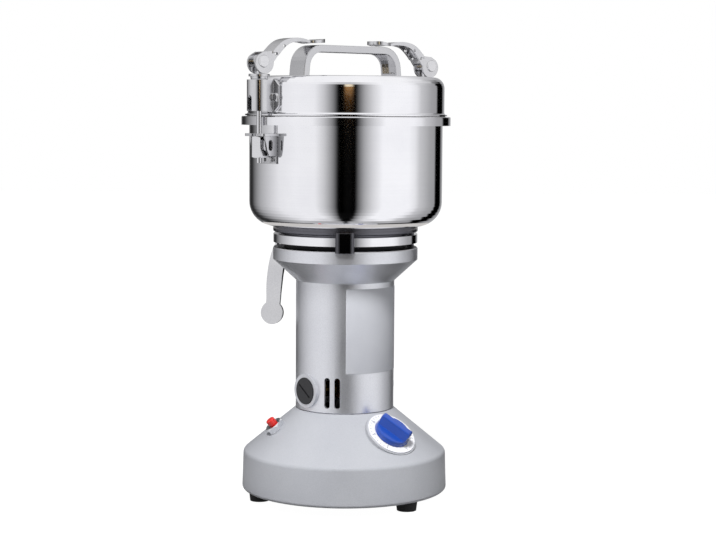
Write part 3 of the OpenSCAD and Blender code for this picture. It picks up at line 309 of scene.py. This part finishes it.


# Above 233.9 mm the housing is painted black, a painted shade for the gap under the lock band.
CAST_PAINT = Finish("cast_silver_paint", (0.74, 0.75, 0.785), 0.84, 0.34, Grain.CAST, 0.55 * MM, 0.035 * MM,
                    0.12, 0.08, soft_edge=0.5 * MM, painted_shade_above=233.9 * MM)
# A darker copy of the housing's silver paint: the darkening is painted shade on the base.
SHADED_BASE_PAINT = Finish("cast_silver_paint_shaded_base", (0.42, 0.43, 0.46), 0.22, 0.40, Grain.CAST,
                    0.55 * MM, 0.035 * MM, 0.10, 0.08, soft_edge=0.5 * MM)
BOWL_STEEL = Finish("spun_bright_steel", (0.93, 0.93, 0.95), 1.0, 0.07, Grain.SPUN, 0.35 * MM, 0.0012 * MM,
                    0.02, 0.03)
CLAMP_STEEL = Finish("polished_casting", (0.66, 0.66, 0.67), 1.0, 0.12, Grain.POLISHED, 1.6 * MM, 0.012 * MM,
                     0.05, 0.06, soft_edge=0.5 * MM)
ROD_STEEL = Finish("turned_steel", (0.74, 0.74, 0.75), 1.0, 0.16, Grain.SPUN, 0.3 * MM, 0.004 * MM,
                   0.05, 0.05, soft_edge=0.3 * MM)
BAND_STEEL = Finish("rolled_bright_steel", (0.92, 0.92, 0.94), 1.0, 0.10, Grain.SPUN, 0.4 * MM, 0.001 * MM,
                    0.02, 0.03, soft_edge=0.3 * MM)
ADAPTER_PAINT = Finish("dark_grey_enamel", (0.15, 0.15, 0.17), 0.85, 0.20, Grain.CAST, 0.9 * MM, 0.01 * MM,
                       0.10, 0.06, soft_edge=0.4 * MM)
POST_STEEL = Finish("dark_cast_steel", (0.10, 0.10, 0.11), 1.0, 0.16, Grain.POLISHED, 1.2 * MM, 0.003 * MM,
                    0.08, 0.06, soft_edge=0.5 * MM)
CHROME = Finish("bright_chrome", (0.86, 0.87, 0.89), 1.0, 0.08, Grain.POLISHED, 2.0 * MM, 0.002 * MM,
                0.02, 0.03, soft_edge=0.3 * MM)
BLUE_KNOB = Finish("glossy_blue_moulding", (0.008, 0.052, 0.32), 0.0, 0.22, Grain.MOULDED, 0.5 * MM,
                   0.004 * MM, 0.06, 0.05, 0.35, 0.5 * MM)
RED_BUTTON = Finish("glossy_red_moulding", (0.62, 0.02, 0.015), 0.0, 0.25, Grain.MOULDED, 0.5 * MM,
                    0.003 * MM, 0.05, 0.04, 0.3, 0.3 * MM)
BLACK_MOULDING = Finish("black_moulding", (0.012, 0.012, 0.014), 0.0, 0.38, Grain.MOULDED, 0.4 * MM,
                        0.008 * MM, 0.2, 0.08, 0.1, 0.3 * MM)
BLACK_RUBBER = Finish("black_rubber", (0.014, 0.014, 0.015), 0.0, 0.62, Grain.MOULDED, 0.5 * MM, 0.012 * MM,
                      0.25, 0.08)
PALE_GASKET = Finish("pale_gasket", (0.50, 0.50, 0.49), 0.0, 0.40, Grain.MOULDED, 0.5 * MM, 0.004 * MM,
                     0.05, 0.05)
DIAL_FACE = Finish("white_dial_plate", (0.70, 0.70, 0.73), 0.0, 0.32, Grain.MOULDED, 0.5 * MM, 0.002 * MM,
                   0.02, 0.04, 0.2)
DIAL_INK = Finish("dial_ink", (0.02, 0.02, 0.03), 0.0, 0.5, Grain.MOULDED, 0.5 * MM, 0.001 * MM, 0.1, 0.03)
LABEL_SHEET = Finish("bare_plate_sheet", (0.47, 0.48, 0.515), 0.0, 0.55, Grain.MOULDED, 0.7 * MM, 0.001 * MM,
                     0.015, 0.04)
COVER_SHEET = Finish("dark_cover_sheet", (0.05, 0.05, 0.055), 0.4, 0.5, Grain.CAST, 0.8 * MM, 0.01 * MM,
                     0.1, 0.06)
SCREW_STEEL = Finish("plated_screw_steel", (0.62, 0.62, 0.60), 1.0, 0.28, Grain.SPUN, 0.3 * MM, 0.004 * MM)
BRASS = Finish("brass_tube", (0.72, 0.52, 0.20), 1.0, 0.30, Grain.SPUN, 0.3 * MM, 0.004 * MM)
CARBON = Finish("pressed_carbon", (0.03, 0.03, 0.032), 0.1, 0.55, Grain.MOULDED, 0.3 * MM, 0.01 * MM, 0.3)
COPPER = Finish("enamelled_copper", (0.22, 0.09, 0.045), 0.9, 0.30, Grain.WOUND, 0.7 * MM, 0.15 * MM, 0.25)
CORE_SHEET = Finish("stacked_core_sheet", (0.30, 0.31, 0.32), 0.9, 0.42, Grain.STACKED, 0.5 * MM, 0.03 * MM,
                    0.2)
GROUND_STEEL = Finish("ground_steel", (0.66, 0.67, 0.68), 1.0, 0.22, Grain.SPUN, 0.25 * MM, 0.003 * MM)
FAN_MOULDING = Finish("pale_fan_moulding", (0.70, 0.70, 0.68), 0.0, 0.5, Grain.MOULDED, 0.6 * MM, 0.006 * MM)
BLADE_STEEL = Finish("hardened_blade_steel", (0.60, 0.61, 0.63), 1.0, 0.25, Grain.POLISHED, 0.5 * MM,
                     0.006 * MM, 0.08, 0.06, soft_edge=0.3 * MM)
HANDLE_STEEL = Finish("satin_handle_steel", (0.62, 0.62, 0.63), 1.0, 0.15, Grain.POLISHED, 0.9 * MM,
                      0.006 * MM, 0.05, 0.06, soft_edge=0.6 * MM)


def dress(names: list[str], finish: Finish) -> None:
    """Gives CAD nodes their finish.

    Args:
        names: the nodes.
        finish: what they are made of.
    """
    for name in names:
        piece = bpy.data.objects[name]
        piece.data.materials.clear()
        piece.data.materials.append(finish.material())
    LOG.info("%s: %s", finish.name, ", ".join(names))


def to_object(name: str, mesh: bmesh.types.BMesh, material: bpy.types.Material) -> bpy.types.Object:
    """Turns mesh code into an object in the scene.

    Args:
        name: the object's name.
        mesh: its mesh, which is freed.
        material: its material.

    Returns:
        The object.
    """
    data = bpy.data.meshes.new(name)
    mesh.to_mesh(data)
    mesh.free()
    data.materials.append(material)
    made = bpy.data.objects.new(name, data)
    bpy.context.scene.collection.objects.link(made)
    return made


def new_piece(name: str, mesh: bmesh.types.BMesh, finish: Finish, body: str) -> bpy.types.Object:
    """Turns mesh code into a piece of the mill that rides on a body.

    Args:
        name: the piece's name.
        mesh: its mesh, which is freed.
        finish: its finish.
        body: the CAD body that carries it.

    Returns:
        The object.
    """
    piece = to_object(name, mesh, finish.material())
    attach(piece, body)
    LOG.info("made %s", name)
    return piece


@dataclass
class Motor:
    """The column with its bare plate, and the motor inside it."""

    plate_low: float = 121.5 * MM
    plate_high: float = 198.5 * MM
    plate_from: float = 1.5
    plate_to: float = 85.0
    column_r: float = 45.5 * MM
    plate_t: float = 0.35 * MM
    plate_gap: float = 0.04 * MM
    plate_round: float = 0.35 * MM
    plate_side: float = 0.7
    sharp_from: float = 35.0
    steps: int = 56
    inner: dict[Finish, list[str]] = field(default_factory=lambda: {
        CORE_SHEET: ["stator_core", "armature_core", "lower_bearing_bracket"],
        COPPER: ["stator_windings", "armature_windings", "commutator"],
        GROUND_STEEL: ["lower_bearing", "upper_bearing", "motor_shaft"],
        CARBON: ["carbon_brushes"],
        SCREW_STEEL: ["brush_springs", "adapter_screws"],
        BRASS: ["brush_holders"],
        FAN_MOULDING: ["cooling_fan"],
    })

    def build(self) -> None:
        """Dresses the housing and the motor, and adds the bare plate."""
        dress(["motor_housing"], CAST_PAINT)
        dress(["brush_caps"], BLACK_MOULDING)
        for finish, names in self.inner.items():
            dress(names, finish)
        self.plate()

    def plate(self) -> bpy.types.Object:
        """Makes the bare plate that is glued round the column.

        Returns:
            The plate.
        """
        mesh = bmesh.new()
        rows = [(self.column_r + self.plate_gap, 0.0), (self.column_r + self.plate_t * self.plate_side, 0.0),
                (self.column_r + self.plate_t, self.plate_round)]
        outline = [(r, self.plate_low + inset) for r, inset in rows]
        outline += [(r, self.plate_high - inset) for r, inset in reversed(rows)]
        rings = []
        for step in range(self.steps + 1):
            a = math.radians(self.plate_from + (self.plate_to - self.plate_from) * step / self.steps)
            rings.append([mesh.verts.new((r * math.sin(a), -r * math.cos(a), z)) for r, z in outline])
        for one, two in zip(rings, rings[1:]):
            for i in range(len(outline)):
                j = (i + 1) % len(outline)
                mesh.faces.new((one[i], one[j], two[j], two[i]))
        mesh.faces.new(list(reversed(rings[0])))
        mesh.faces.new(rings[-1])
        bmesh.ops.recalc_face_normals(mesh, faces=mesh.faces)
        for face in mesh.faces:
            face.smooth = len(face.verts) == 4
        piece = new_piece("column_plate", mesh, LABEL_SHEET, "mill")
        piece.data.set_sharp_from_angle(angle=math.radians(self.sharp_from))
        return piece


@dataclass
class Base:
    """The cast base with its cover plate, feet and cord inlet."""

    def build(self) -> None:
        """Dresses the base."""
        # The base gets the darker copy of the silver paint, which is painted shade.
        dress(["base_shell"], SHADED_BASE_PAINT)
        dress(["base_plate"], COVER_SHEET)
        dress(["rubber_feet", "cord_grommet"], BLACK_RUBBER)
        dress(["foot_screws"], SCREW_STEEL)


@dataclass
class Controls:
    """The timer dial with its printed scale, the knob and the reset button."""

    azimuth: float = 40.0
    at_r: float = 65.993 * MM
    cone_angle: float = 39.5841
    cone_z: float = 67.6563 * MM
    face: float = 1.6 * MM
    tick_in: float = 20.2 * MM
    tick_out: float = 21.6 * MM
    tick_half: float = 0.13 * MM
    long_half: float = 0.22 * MM
    long_extra: float = 0.6 * MM
    figure_at: float = 18.6 * MM
    figure_h: float = 2.5 * MM
    first: float = 225.0
    sweep: float = 300.0
    marks: int = 30
    figures: int = 6
    figure_step: int = 10
    ink_t: float = 0.05 * MM

    def frame(self) -> Matrix:
        """Gives the dial's own frame: X across, Y up the slope, Z out of the face.

        Returns:
            A matrix from the dial's frame to the row frame.
        """
        return (Matrix.Rotation(math.radians(self.azimuth), 4, "Z")
                @ Matrix.Translation((0.0, -self.at_r, self.cone_z))
                @ Matrix.Rotation(math.radians(self.cone_angle), 4, "X"))

    def build(self) -> None:
        """Dresses the controls and prints the scale."""
        dress(["timer_dial"], DIAL_FACE)
        dress(["timer_body"], FAN_MOULDING)
        dress(["timer_knob"], BLUE_KNOB)
        dress(["reset_bezel"], CHROME)
        dress(["reset_button"], RED_BUTTON)
        dress(["overload_protector"], BLACK_MOULDING)
        self.scale()
        self.numbers()

    def scale(self) -> bpy.types.Object:
        """Prints the ring of short marks.

        Returns:
            The marks as one thin piece.
        """
        mesh = bmesh.new()
        for i in range(self.marks + 1):
            a = math.radians(self.first - self.sweep * i / self.marks)
            long = i % (self.marks // self.figures) == 0
            inner = self.tick_in - (self.long_extra if long else 0.0)
            half = self.long_half if long else self.tick_half
            block = bmesh.ops.create_cube(mesh, size=1.0)["verts"]
            spin = (Matrix.Rotation(a, 4, "Z")
                    @ Matrix.Translation(((inner + self.tick_out) / 2, 0.0, self.face + self.ink_t / 2))
                    @ Matrix.Diagonal((self.tick_out - inner, 2 * half, self.ink_t, 1.0)))
            bmesh.ops.transform(mesh, matrix=self.frame() @ spin, verts=block)
        return new_piece("dial_marks", mesh, DIAL_INK, "mill")

    def numbers(self) -> None:
        """Prints the plain numbers inside the long marks."""
        for i in range(self.figures + 1):
            curve = bpy.data.curves.new(f"figure_{i}", "FONT")
            curve.body = str(i * self.figure_step)
            curve.size = self.figure_h
            curve.align_x = "CENTER"
            curve.align_y = "CENTER"
            curve.extrude = self.ink_t / 2
            text = bpy.data.objects.new(f"figure_{i}", curve)
            bpy.context.scene.collection.objects.link(text)
            bpy.context.view_layer.update()
            flat = bpy.data.meshes.new_from_object(text)
            bpy.data.objects.remove(text)
            a = math.radians(self.first - self.sweep * i / self.figures)
            mesh = bmesh.new()
            mesh.from_mesh(flat)
            bpy.data.meshes.remove(flat)
            spin = (Matrix.Rotation(a, 4, "Z")
                    @ Matrix.Translation((self.figure_at, 0.0, self.face + self.ink_t / 2))
                    @ Matrix.Rotation(-math.pi / 2, 4, "Z"))
            bmesh.ops.transform(mesh, matrix=self.frame() @ spin, verts=mesh.verts)
            new_piece(f"dial_number_{i}", mesh, DIAL_INK, "mill")


@dataclass
class LockBand:
    """The dark adapter under the bowl, the bright band round it and its cam lever."""

    def build(self) -> None:
        """Dresses the joint under the bowl."""
        dress(["bowl_adapter"], ADAPTER_PAINT)
        dress(["lock_band"], BAND_STEEL)
        dress(["band_posts", "band_lever_block"], POST_STEEL)
        dress(["band_lever"], CLAMP_STEEL)
        dress(["band_pin"], ROD_STEEL)


@dataclass
class Vessel:
    """The bowl and lid with the handle, the catches and the blades."""

    def build(self) -> None:
        """Dresses the bowl, the lid and what is on and in them."""
        dress(["bowl", "lid_shell"], BOWL_STEEL)
        dress(["lid_gasket"], PALE_GASKET)
        dress(["shaft_seal"], BLACK_RUBBER)
        dress(["lid_handle"], HANDLE_STEEL)
        dress(["handle_screws", "blade_spacers", "blade_nut"], SCREW_STEEL)
        dress(["lower_blade", "middle_blade", "upper_blade"], BLADE_STEEL)


@dataclass
class CamClamp:
    """One cam clamp: bracket, catch, collar, pull rod, nut, lever and pin."""

    side: Side

    def build(self) -> None:
        """Dresses the clamp."""
        end = self.side.value
        polished = ("clamp_bracket", "catch", "clamp_collar", "clamp_lever")
        dress([f"{name}_{end}" for name in polished], CLAMP_STEEL)
        dress([f"{name}_{end}" for name in ("clamp_rod", "clamp_nut", "clamp_pin")], ROD_STEEL)


@dataclass(frozen=True)
class Lamp:
    """One soft square lamp that looks at the middle of the mill and isn't seen itself."""

    name: str
    at: tuple[float, float, float]
    side: float
    power: float
    aim: tuple[float, float, float] = (0.0, 0.0, 0.2)

    def build(self) -> None:
        """Hangs the lamp."""
        light = bpy.data.lights.new(self.name, "AREA")
        light.size = self.side
        light.energy = self.power
        lamp = bpy.data.objects.new(self.name, light)
        bpy.context.scene.collection.objects.link(lamp)
        lamp.location = self.at
        lamp.rotation_euler = (Vector(self.aim) - Vector(self.at)).to_track_quat("-Z", "Y").to_euler()
        lamp.visible_camera = False
        lamp.visible_glossy = False


@dataclass
class Sky:
    """The light all round: plain white to the camera, and bands from side to side where metal mirrors it.

    The bands are pairs of an azimuth in degrees, from the front and growing to the right, and a brightness.
    """

    bands: tuple[tuple[float, float], ...] = (
        (-180, 0.30), (-156, 0.02), (-146, 0.04), (-134, 0.22), (-122, 0.40), (-105, 0.60), (-85, 0.84),
        (-60, 0.92), (-36, 0.90), (-25, 0.62), (-14, 0.22), (-9, 0.003), (12, 0.003), (15, 0.12), (22, 0.40),
        (32, 0.70), (44, 0.98), (80, 0.98), (90, 0.85), (98, 0.60), (118, 0.38), (131, 0.33), (134, 0.0),
        (152, 0.0), (158, 0.30), (180, 0.50))
    blue: float = 1.02
    zenith: tuple[float, float, float, float] = (0.97, 0.97, 0.98, 1.0)
    zenith_from: float = 0.25
    zenith_full: float = 0.8
    nadir_dim: float = 0.40
    nadir_until: float = -0.88
    fill: float = 0.24

    def build(self) -> None:
        """Makes the world."""
        world = bpy.data.worlds.new("studio")
        bpy.context.scene.world = world
        world.use_nodes = True
        graph = Graph(world.node_tree)
        out = graph.add("ShaderNodeOutputWorld")
        split = graph.add("ShaderNodeSeparateXYZ")
        graph.link(graph.add("ShaderNodeTexCoord").outputs["Generated"], split.inputs["Vector"])
        seen = graph.add("ShaderNodeBackground", {"Color": (1.0, 1.0, 1.0, 1.0), "Strength": 1.0})
        mirrored = graph.add("ShaderNodeBackground", {"Strength": 1.0})
        graph.link(self.mirror_bands(graph, split), mirrored.inputs["Color"])
        soft = graph.add("ShaderNodeBackground", {"Color": (1.0, 1.0, 1.0, 1.0), "Strength": self.fill})
        rays = graph.add("ShaderNodeLightPath")
        first = graph.add("ShaderNodeMixShader")
        graph.link(rays.outputs["Is Glossy Ray"], first.inputs["Fac"])
        graph.link(soft.outputs[0], first.inputs[1])
        graph.link(mirrored.outputs[0], first.inputs[2])
        last = graph.add("ShaderNodeMixShader")
        graph.link(rays.outputs["Is Camera Ray"], last.inputs["Fac"])
        graph.link(first.outputs[0], last.inputs[1])
        graph.link(seen.outputs[0], last.inputs[2])
        graph.link(last.outputs[0], out.inputs["Surface"])

    def mirror_bands(self, graph: Graph, way: bpy.types.Node) -> bpy.types.NodeSocket:
        """Makes the bands, which fade to white overhead and dim straight below.

        Args:
            graph: the world's graph.
            way: the viewing direction, split into X, Y and Z.

        Returns:
            The colour that mirroring surfaces see.
        """
        back = graph.add("ShaderNodeMath", operation="MULTIPLY")
        back.inputs[1].default_value = -1.0
        graph.link(way.outputs["Y"], back.inputs[0])
        turn = graph.add("ShaderNodeMath", operation="ARCTAN2")
        graph.link(way.outputs["X"], turn.inputs[0])
        graph.link(back.outputs[0], turn.inputs[1])
        share = graph.add("ShaderNodeMapRange", {"From Min": -math.pi, "From Max": math.pi})
        graph.link(turn.outputs[0], share.inputs["Value"])
        bands = graph.ramp(share.outputs["Result"], [
            ((a + 180.0) / 360.0, (v, v, min(1.0, v * self.blue))) for a, v in self.bands])
        low = graph.add("ShaderNodeMapRange", {"From Min": -1.0, "From Max": self.nadir_until,
                                               "To Min": self.nadir_dim})
        graph.link(way.outputs["Z"], low.inputs["Value"])
        dimmed = graph.add("ShaderNodeVectorMath", operation="SCALE")
        graph.link(bands, dimmed.inputs["Vector"])
        graph.link(low.outputs["Result"], dimmed.inputs["Scale"])
        height = graph.add("ShaderNodeMapRange", {"From Min": self.zenith_from, "From Max": self.zenith_full})
        graph.link(way.outputs["Z"], height.inputs["Value"])
        mixed = graph.add("ShaderNodeMix", data_type="RGBA")
        mixed.inputs["B"].default_value = self.zenith
        graph.link(height.outputs["Result"], mixed.inputs["Factor"])
        graph.link(dimmed.outputs["Vector"], mixed.inputs["A"])
        return mixed.outputs["Result"]


def set_up(name: str, mesh: bmesh.types.BMesh, material: bpy.types.Material, mirrored_only: bool) -> None:
    """Sets up a piece of the studio, which isn't part of the mill.

    Args:
        name: the piece's name.
        mesh: its mesh, which is freed.
        material: its material.
        mirrored_only: whether mirroring surfaces alone see it; if not, they alone don't.
    """
    piece = to_object(name, mesh, material)
    piece.visible_camera = not mirrored_only
    piece.visible_diffuse = not mirrored_only
    piece.visible_shadow = not mirrored_only
    piece.visible_glossy = mirrored_only


@dataclass
class Floor:
    """The pale floor, which is white to the camera with a faint contact shadow."""

    half: float = 6.0
    glow: float = 0.99
    shadow_catch: tuple[float, float, float, float] = (0.12, 0.12, 0.12, 1.0)
    bounce: tuple[float, float, float, float] = (0.30, 0.30, 0.30, 1.0)

    def build(self) -> None:
        """Lays the floor."""
        mesh = bmesh.new()
        corners_at = ((-1, -1), (1, -1), (1, 1), (-1, 1))
        mesh.faces.new([mesh.verts.new((x * self.half, y * self.half, 0.0)) for x, y in corners_at])
        material, graph, out = empty_material("studio_floor")
        matte = graph.add("ShaderNodeBsdfDiffuse", {"Color": self.shadow_catch})
        glow = graph.add("ShaderNodeEmission", {"Color": (1.0, 1.0, 1.0, 1.0), "Strength": self.glow})
        both = graph.add("ShaderNodeAddShader")
        graph.link(matte.outputs[0], both.inputs[0])
        graph.link(glow.outputs[0], both.inputs[1])
        plain = graph.add("ShaderNodeBsdfDiffuse", {"Color": self.bounce})
        mix = graph.add("ShaderNodeMixShader")
        graph.link(graph.add("ShaderNodeLightPath").outputs["Is Camera Ray"], mix.inputs["Fac"])
        graph.link(plain.outputs[0], mix.inputs[1])
        graph.link(both.outputs[0], mix.inputs[2])
        graph.link(mix.outputs[0], out)
        set_up("studio_floor", mesh, material, mirrored_only=False)


@dataclass
class TableTop:
    """The bright table top that only mirroring surfaces see, and only from near by.

    The glow is given as pairs of a radius and a brightness; its dim middle is a painted shadow of the mill
    round its base. It ends between the ray lengths near and far.
    """

    radius: float = 0.66
    segments: int = 64
    lift: float = 0.5 * MM
    near: float = 0.12
    far: float = 0.26
    # The dim middle, out to about 0.13 m, is a painted shadow of the mill near its base.
    glow: tuple[tuple[float, float], ...] = (
        (0.0, 0.20), (0.13, 0.22), (0.20, 0.80), (0.30, 0.92), (0.48, 0.92), (0.60, 0.30), (0.66, 0.03))

    def build(self) -> None:
        """Lays the table top."""
        mesh = bmesh.new()
        bmesh.ops.create_circle(mesh, cap_ends=True, segments=self.segments, radius=self.radius)
        bmesh.ops.translate(mesh, vec=(0.0, 0.0, self.lift), verts=mesh.verts)
        material, graph, out = empty_material("table_top")
        reach = graph.add("ShaderNodeVectorMath", operation="LENGTH")
        graph.link(graph.add("ShaderNodeTexCoord").outputs["Object"], reach.inputs[0])
        share = graph.add("ShaderNodeMath", operation="DIVIDE")
        share.inputs[1].default_value = self.radius
        graph.link(reach.outputs["Value"], share.inputs[0])
        colour = graph.ramp(share.outputs[0], [(r / self.radius, (v, v, v)) for r, v in self.glow])
        fade = graph.add("ShaderNodeMapRange", {"From Min": self.near, "From Max": self.far,
                                                "To Min": 1.0, "To Max": 0.0})
        graph.link(graph.add("ShaderNodeLightPath").outputs["Ray Length"], fade.inputs["Value"])
        glow = graph.add("ShaderNodeEmission")
        graph.link(colour, glow.inputs["Color"])
        mix = graph.add("ShaderNodeMixShader")
        graph.link(fade.outputs["Result"], mix.inputs["Fac"])
        graph.link(graph.add("ShaderNodeBsdfTransparent").outputs[0], mix.inputs[1])
        graph.link(glow.outputs[0], mix.inputs[2])
        graph.link(mix.outputs[0], out)
        set_up("table_top", mesh, material, mirrored_only=True)


@dataclass
class Reflector:
    """The pale ring under the bowl that the bowl's lower edge mirrors."""

    inner: float = 71.5 * MM
    outer: float = 79.5 * MM
    height: float = 250.5 * MM
    segments: int = 96
    colour: tuple[float, float, float, float] = (0.62, 0.60, 0.58, 1.0)

    def build(self) -> None:
        """Hangs the ring."""
        mesh = bmesh.new()
        loops = [bmesh.ops.create_circle(mesh, segments=self.segments, radius=r)["verts"]
                 for r in (self.inner, self.outer)]
        for i in range(self.segments):
            j = (i + 1) % self.segments
            mesh.faces.new((loops[0][i], loops[0][j], loops[1][j], loops[1][i]))
        bmesh.ops.translate(mesh, vec=(0.0, 0.0, self.height), verts=mesh.verts)
        material, graph, out = empty_material("reflector")
        graph.link(graph.add("ShaderNodeEmission", {"Color": self.colour}).outputs[0], out)
        set_up("reflector", mesh, material, mirrored_only=True)


@dataclass
class DarkCard:
    """The dark card in front that the bright steel mirrors as a black stripe, warm along its upper part.

    The warm colours are placed from warm_from to warm_to in height, and the core says how strong they are
    from the card's left edge to its right one.
    """

    at: float = -1.05
    left: float = -0.135
    right: float = 0.205
    low: float = -0.35
    top: float = 0.60
    warm_from: float = 0.355
    warm_to: float = 0.415
    warm: tuple[tuple[float, Colour], ...] = (
        (0.0, (0.002, 0.002, 0.002)), (0.30, (0.008, 0.003, 0.001)), (0.52, (0.07, 0.022, 0.003)),
        (0.72, (0.40, 0.16, 0.03)), (0.86, (0.75, 0.42, 0.10)), (1.0, (1.0, 0.86, 0.62)))
    core: tuple[tuple[float, float], ...] = ((0.26, 0.0), (0.42, 1.0), (0.72, 1.0), (0.92, 0.0))

    def build(self) -> None:
        """Stands the card."""
        mesh = bmesh.new()
        outline = ((self.left, self.low), (self.right, self.low),
                   (self.right, self.top), (self.left, self.top))
        mesh.faces.new([mesh.verts.new((x, self.at, z)) for x, z in outline])
        material, graph, out = empty_material("dark_card")
        split = graph.add("ShaderNodeSeparateXYZ")
        graph.link(graph.add("ShaderNodeTexCoord").outputs["Object"], split.inputs["Vector"])
        rise = graph.add("ShaderNodeMapRange", {"From Min": self.warm_from, "From Max": self.warm_to})
        graph.link(split.outputs["Z"], rise.inputs["Value"])
        across = graph.add("ShaderNodeMapRange", {"From Min": self.left, "From Max": self.right})
        graph.link(split.outputs["X"], across.inputs["Value"])
        mixed = graph.add("ShaderNodeMix", data_type="RGBA", blend_type="MULTIPLY")
        mixed.inputs["Factor"].default_value = 1.0
        core = [(x, (v, v, v)) for x, v in self.core]
        graph.link(graph.ramp(rise.outputs["Result"], list(self.warm)), mixed.inputs["A"])
        graph.link(graph.ramp(across.outputs["Result"], core), mixed.inputs["B"])
        glow = graph.add("ShaderNodeEmission", {"Strength": 1.0})
        graph.link(mixed.outputs["Result"], glow.inputs["Color"])
        graph.link(glow.outputs[0], out)
        set_up("dark_card", mesh, material, mirrored_only=True)


@dataclass
class Studio:
    """A plain white studio, and the camera at the photograph's viewing angle."""

    camera_at: tuple[float, float, float] = (0.0118, -1.576, 0.3575)
    pitch: float = 5.27
    roll: float = 0.35
    lens: float = 86.0
    sensor: float = 36.0
    clip_from: float = 0.01
    clip_to: float = 50.0

    def build(self) -> None:
        """Sets up the sky, the floor, the cards, the lamps and the camera."""
        for piece in (Sky(), Floor(), TableTop(), Reflector(), DarkCard(),
                      Lamp("key", (-0.25, -1.40, 2.0), 0.6, 82.0), Lamp("rim", (1.5, -0.9, 1.0), 0.9, 5.0)):
            piece.build()
        self.camera()

    def camera(self) -> None:
        """Places the camera."""
        data = bpy.data.cameras.new("camera")
        data.lens = self.lens
        data.sensor_width = self.sensor
        data.clip_start = self.clip_from
        data.clip_end = self.clip_to
        camera = bpy.data.objects.new("camera", data)
        bpy.context.scene.collection.objects.link(camera)
        camera.location = self.camera_at
        camera.rotation_euler = (Matrix.Rotation(math.radians(90.0 - self.pitch), 4, "X")
                                 @ Matrix.Rotation(math.radians(self.roll), 4, "Z")).to_euler()
        bpy.context.scene.camera = camera


def main() -> None:
    """Builds every sub-assembly and the studio."""
    logging.basicConfig(level=logging.INFO, format="%(name)s: %(message)s")
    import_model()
    bpy.context.scene.view_settings.view_transform = "Standard"
    for part in (Base(), Motor(), Controls(), LockBand(), Vessel(), CamClamp(Side.LEFT), CamClamp(Side.RIGHT),
                 Studio()):
        part.build()
        LOG.info("%s done", type(part).__name__)


if __name__ == "__main__":
    main()
